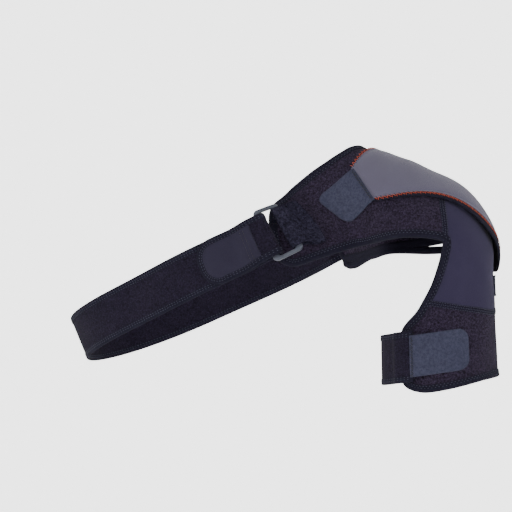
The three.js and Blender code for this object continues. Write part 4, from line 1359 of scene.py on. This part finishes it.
def patch_place(across, along, side):
    reach = crowded(across, 1.4) * patch_length
    off = crowded(along, 1.4) * (PATCH_HIGH - PATCH_LOW)
    edge = np.minimum(
        np.minimum(reach, patch_length - reach), np.minimum(off, PATCH_HIGH - PATCH_LOW - off)
    )
    return patch_chart(reach, off, pillowed(edge, side, PANEL_TOP + 0.4, 1.2, 0.5))


side_patch = closed_sheet("side_patch_felt", 56, 28, patch_place, (47, 20), tab_cloth)
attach(side_patch, "root")
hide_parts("side_patch")
PATCH_PITCH, PATCH_SLANT, PATCH_STITCH = 0.9, 60, (2.6, 0.7, 0.6)
patch_rows = [
    row for across in (0.9, PATCH_HIGH - PATCH_LOW - 0.9)
    for row in zigzag(patch_length, PATCH_PITCH, across, PATCH_SLANT, PANEL_TOP + 1.65)
]
patch_stitches = sewn(
    "side_patch_zigzag", patch_chart, patch_rows, PATCH_STITCH, dark_thread
)

# Studio.
# A pale bowl-shaped backdrop with its floor well below the brace, lit softly from the left, the
# right, above and the far side. The camera stands where the photograph was taken.
FLOOR_DROP, BOWL_REACH, BOWL_HEIGHT, FLAT_SHARE = 0.9, 5.0, 5.0, 0.45
bm = bmesh.new()
bmesh.ops.create_grid(bm, x_segments=72, y_segments=72, size=1.0)
for vert in bm.verts:
    x, y = vert.co.xy
    ring_reach = max(abs(x), abs(y))
    turn = np.arctan2(y, x)
    rise = max(ring_reach - FLAT_SHARE, 0) / (1 - FLAT_SHARE)
    reach = BOWL_REACH * (
        min(ring_reach, FLAT_SHARE) + (1 - FLAT_SHARE) * np.sin(rise * np.pi / 2)
    )
    height = BOWL_HEIGHT * (1 - np.cos(rise * np.pi / 2))
    vert.co = (reach * np.cos(turn), reach * np.sin(turn), height - FLOOR_DROP)
for face in bm.faces:
    face.smooth = True
paper = bpy.data.materials.new("studio_paper")
paper.use_nodes = True
paper_shader = paper.node_tree.nodes["Principled BSDF"]
paper_shader.inputs["Base Color"].default_value = (0.9, 0.9, 0.9, 1)
paper_shader.inputs["Roughness"].default_value = 1.0
paper_shader.inputs["Emission Color"].default_value = (1, 1, 1, 1)
paper_shader.inputs["Emission Strength"].default_value = 1.3
bowl = linked("studio_bowl", meshed("studio_bowl", bm, paper))

world = bpy.data.worlds.new("studio_air")
bpy.context.scene.world = world
world.use_nodes = True
air = world.node_tree.nodes["Background"]
air.inputs["Color"].default_value = (1, 1, 1, 1)
air.inputs["Strength"].default_value = 0.8

CAMERA_TURN, CAMERA_RISE, CAMERA_REACH = np.radians(25), np.radians(1), 2.0
VIEW_WIDTH, SENSOR = 0.512, 36.0
target = np.array([-0.172, 0.0, -0.0819])


def stand_at(thing, turn, rise, reach):
    """Puts a camera or lamp round the target, facing it."""
    back = Vector((
        np.sin(turn) * np.cos(rise), -np.cos(turn) * np.cos(rise), np.sin(rise)
    ))
    thing.location = Vector(target) + back * reach
    thing.rotation_euler = back.to_track_quat("Z", "Y").to_euler()


for name, turn, rise, reach, size, power in (
    ("softbox_left", -35, 35, 2.2, 1.6, 16),
    ("softbox_right", 85, 30, 2.2, 1.4, 7),
    ("softbox_top", 25, 80, 2.0, 1.8, 20),
    ("softbox_behind", 205, 40, 2.4, 1.6, 8),
):
    softbox = bpy.data.lights.new(name, "AREA")
    softbox.size, softbox.energy = size, power
    stand_at(linked(name, softbox), np.radians(turn), np.radians(rise), reach)

camera_data = bpy.data.cameras.new("camera")
camera_data.sensor_width = SENSOR
camera_data.lens = SENSOR * CAMERA_REACH / VIEW_WIDTH
camera_data.clip_end = 100
camera = linked("camera", camera_data)
stand_at(camera, CAMERA_TURN, CAMERA_RISE, CAMERA_REACH)
bpy.context.scene.camera = camera
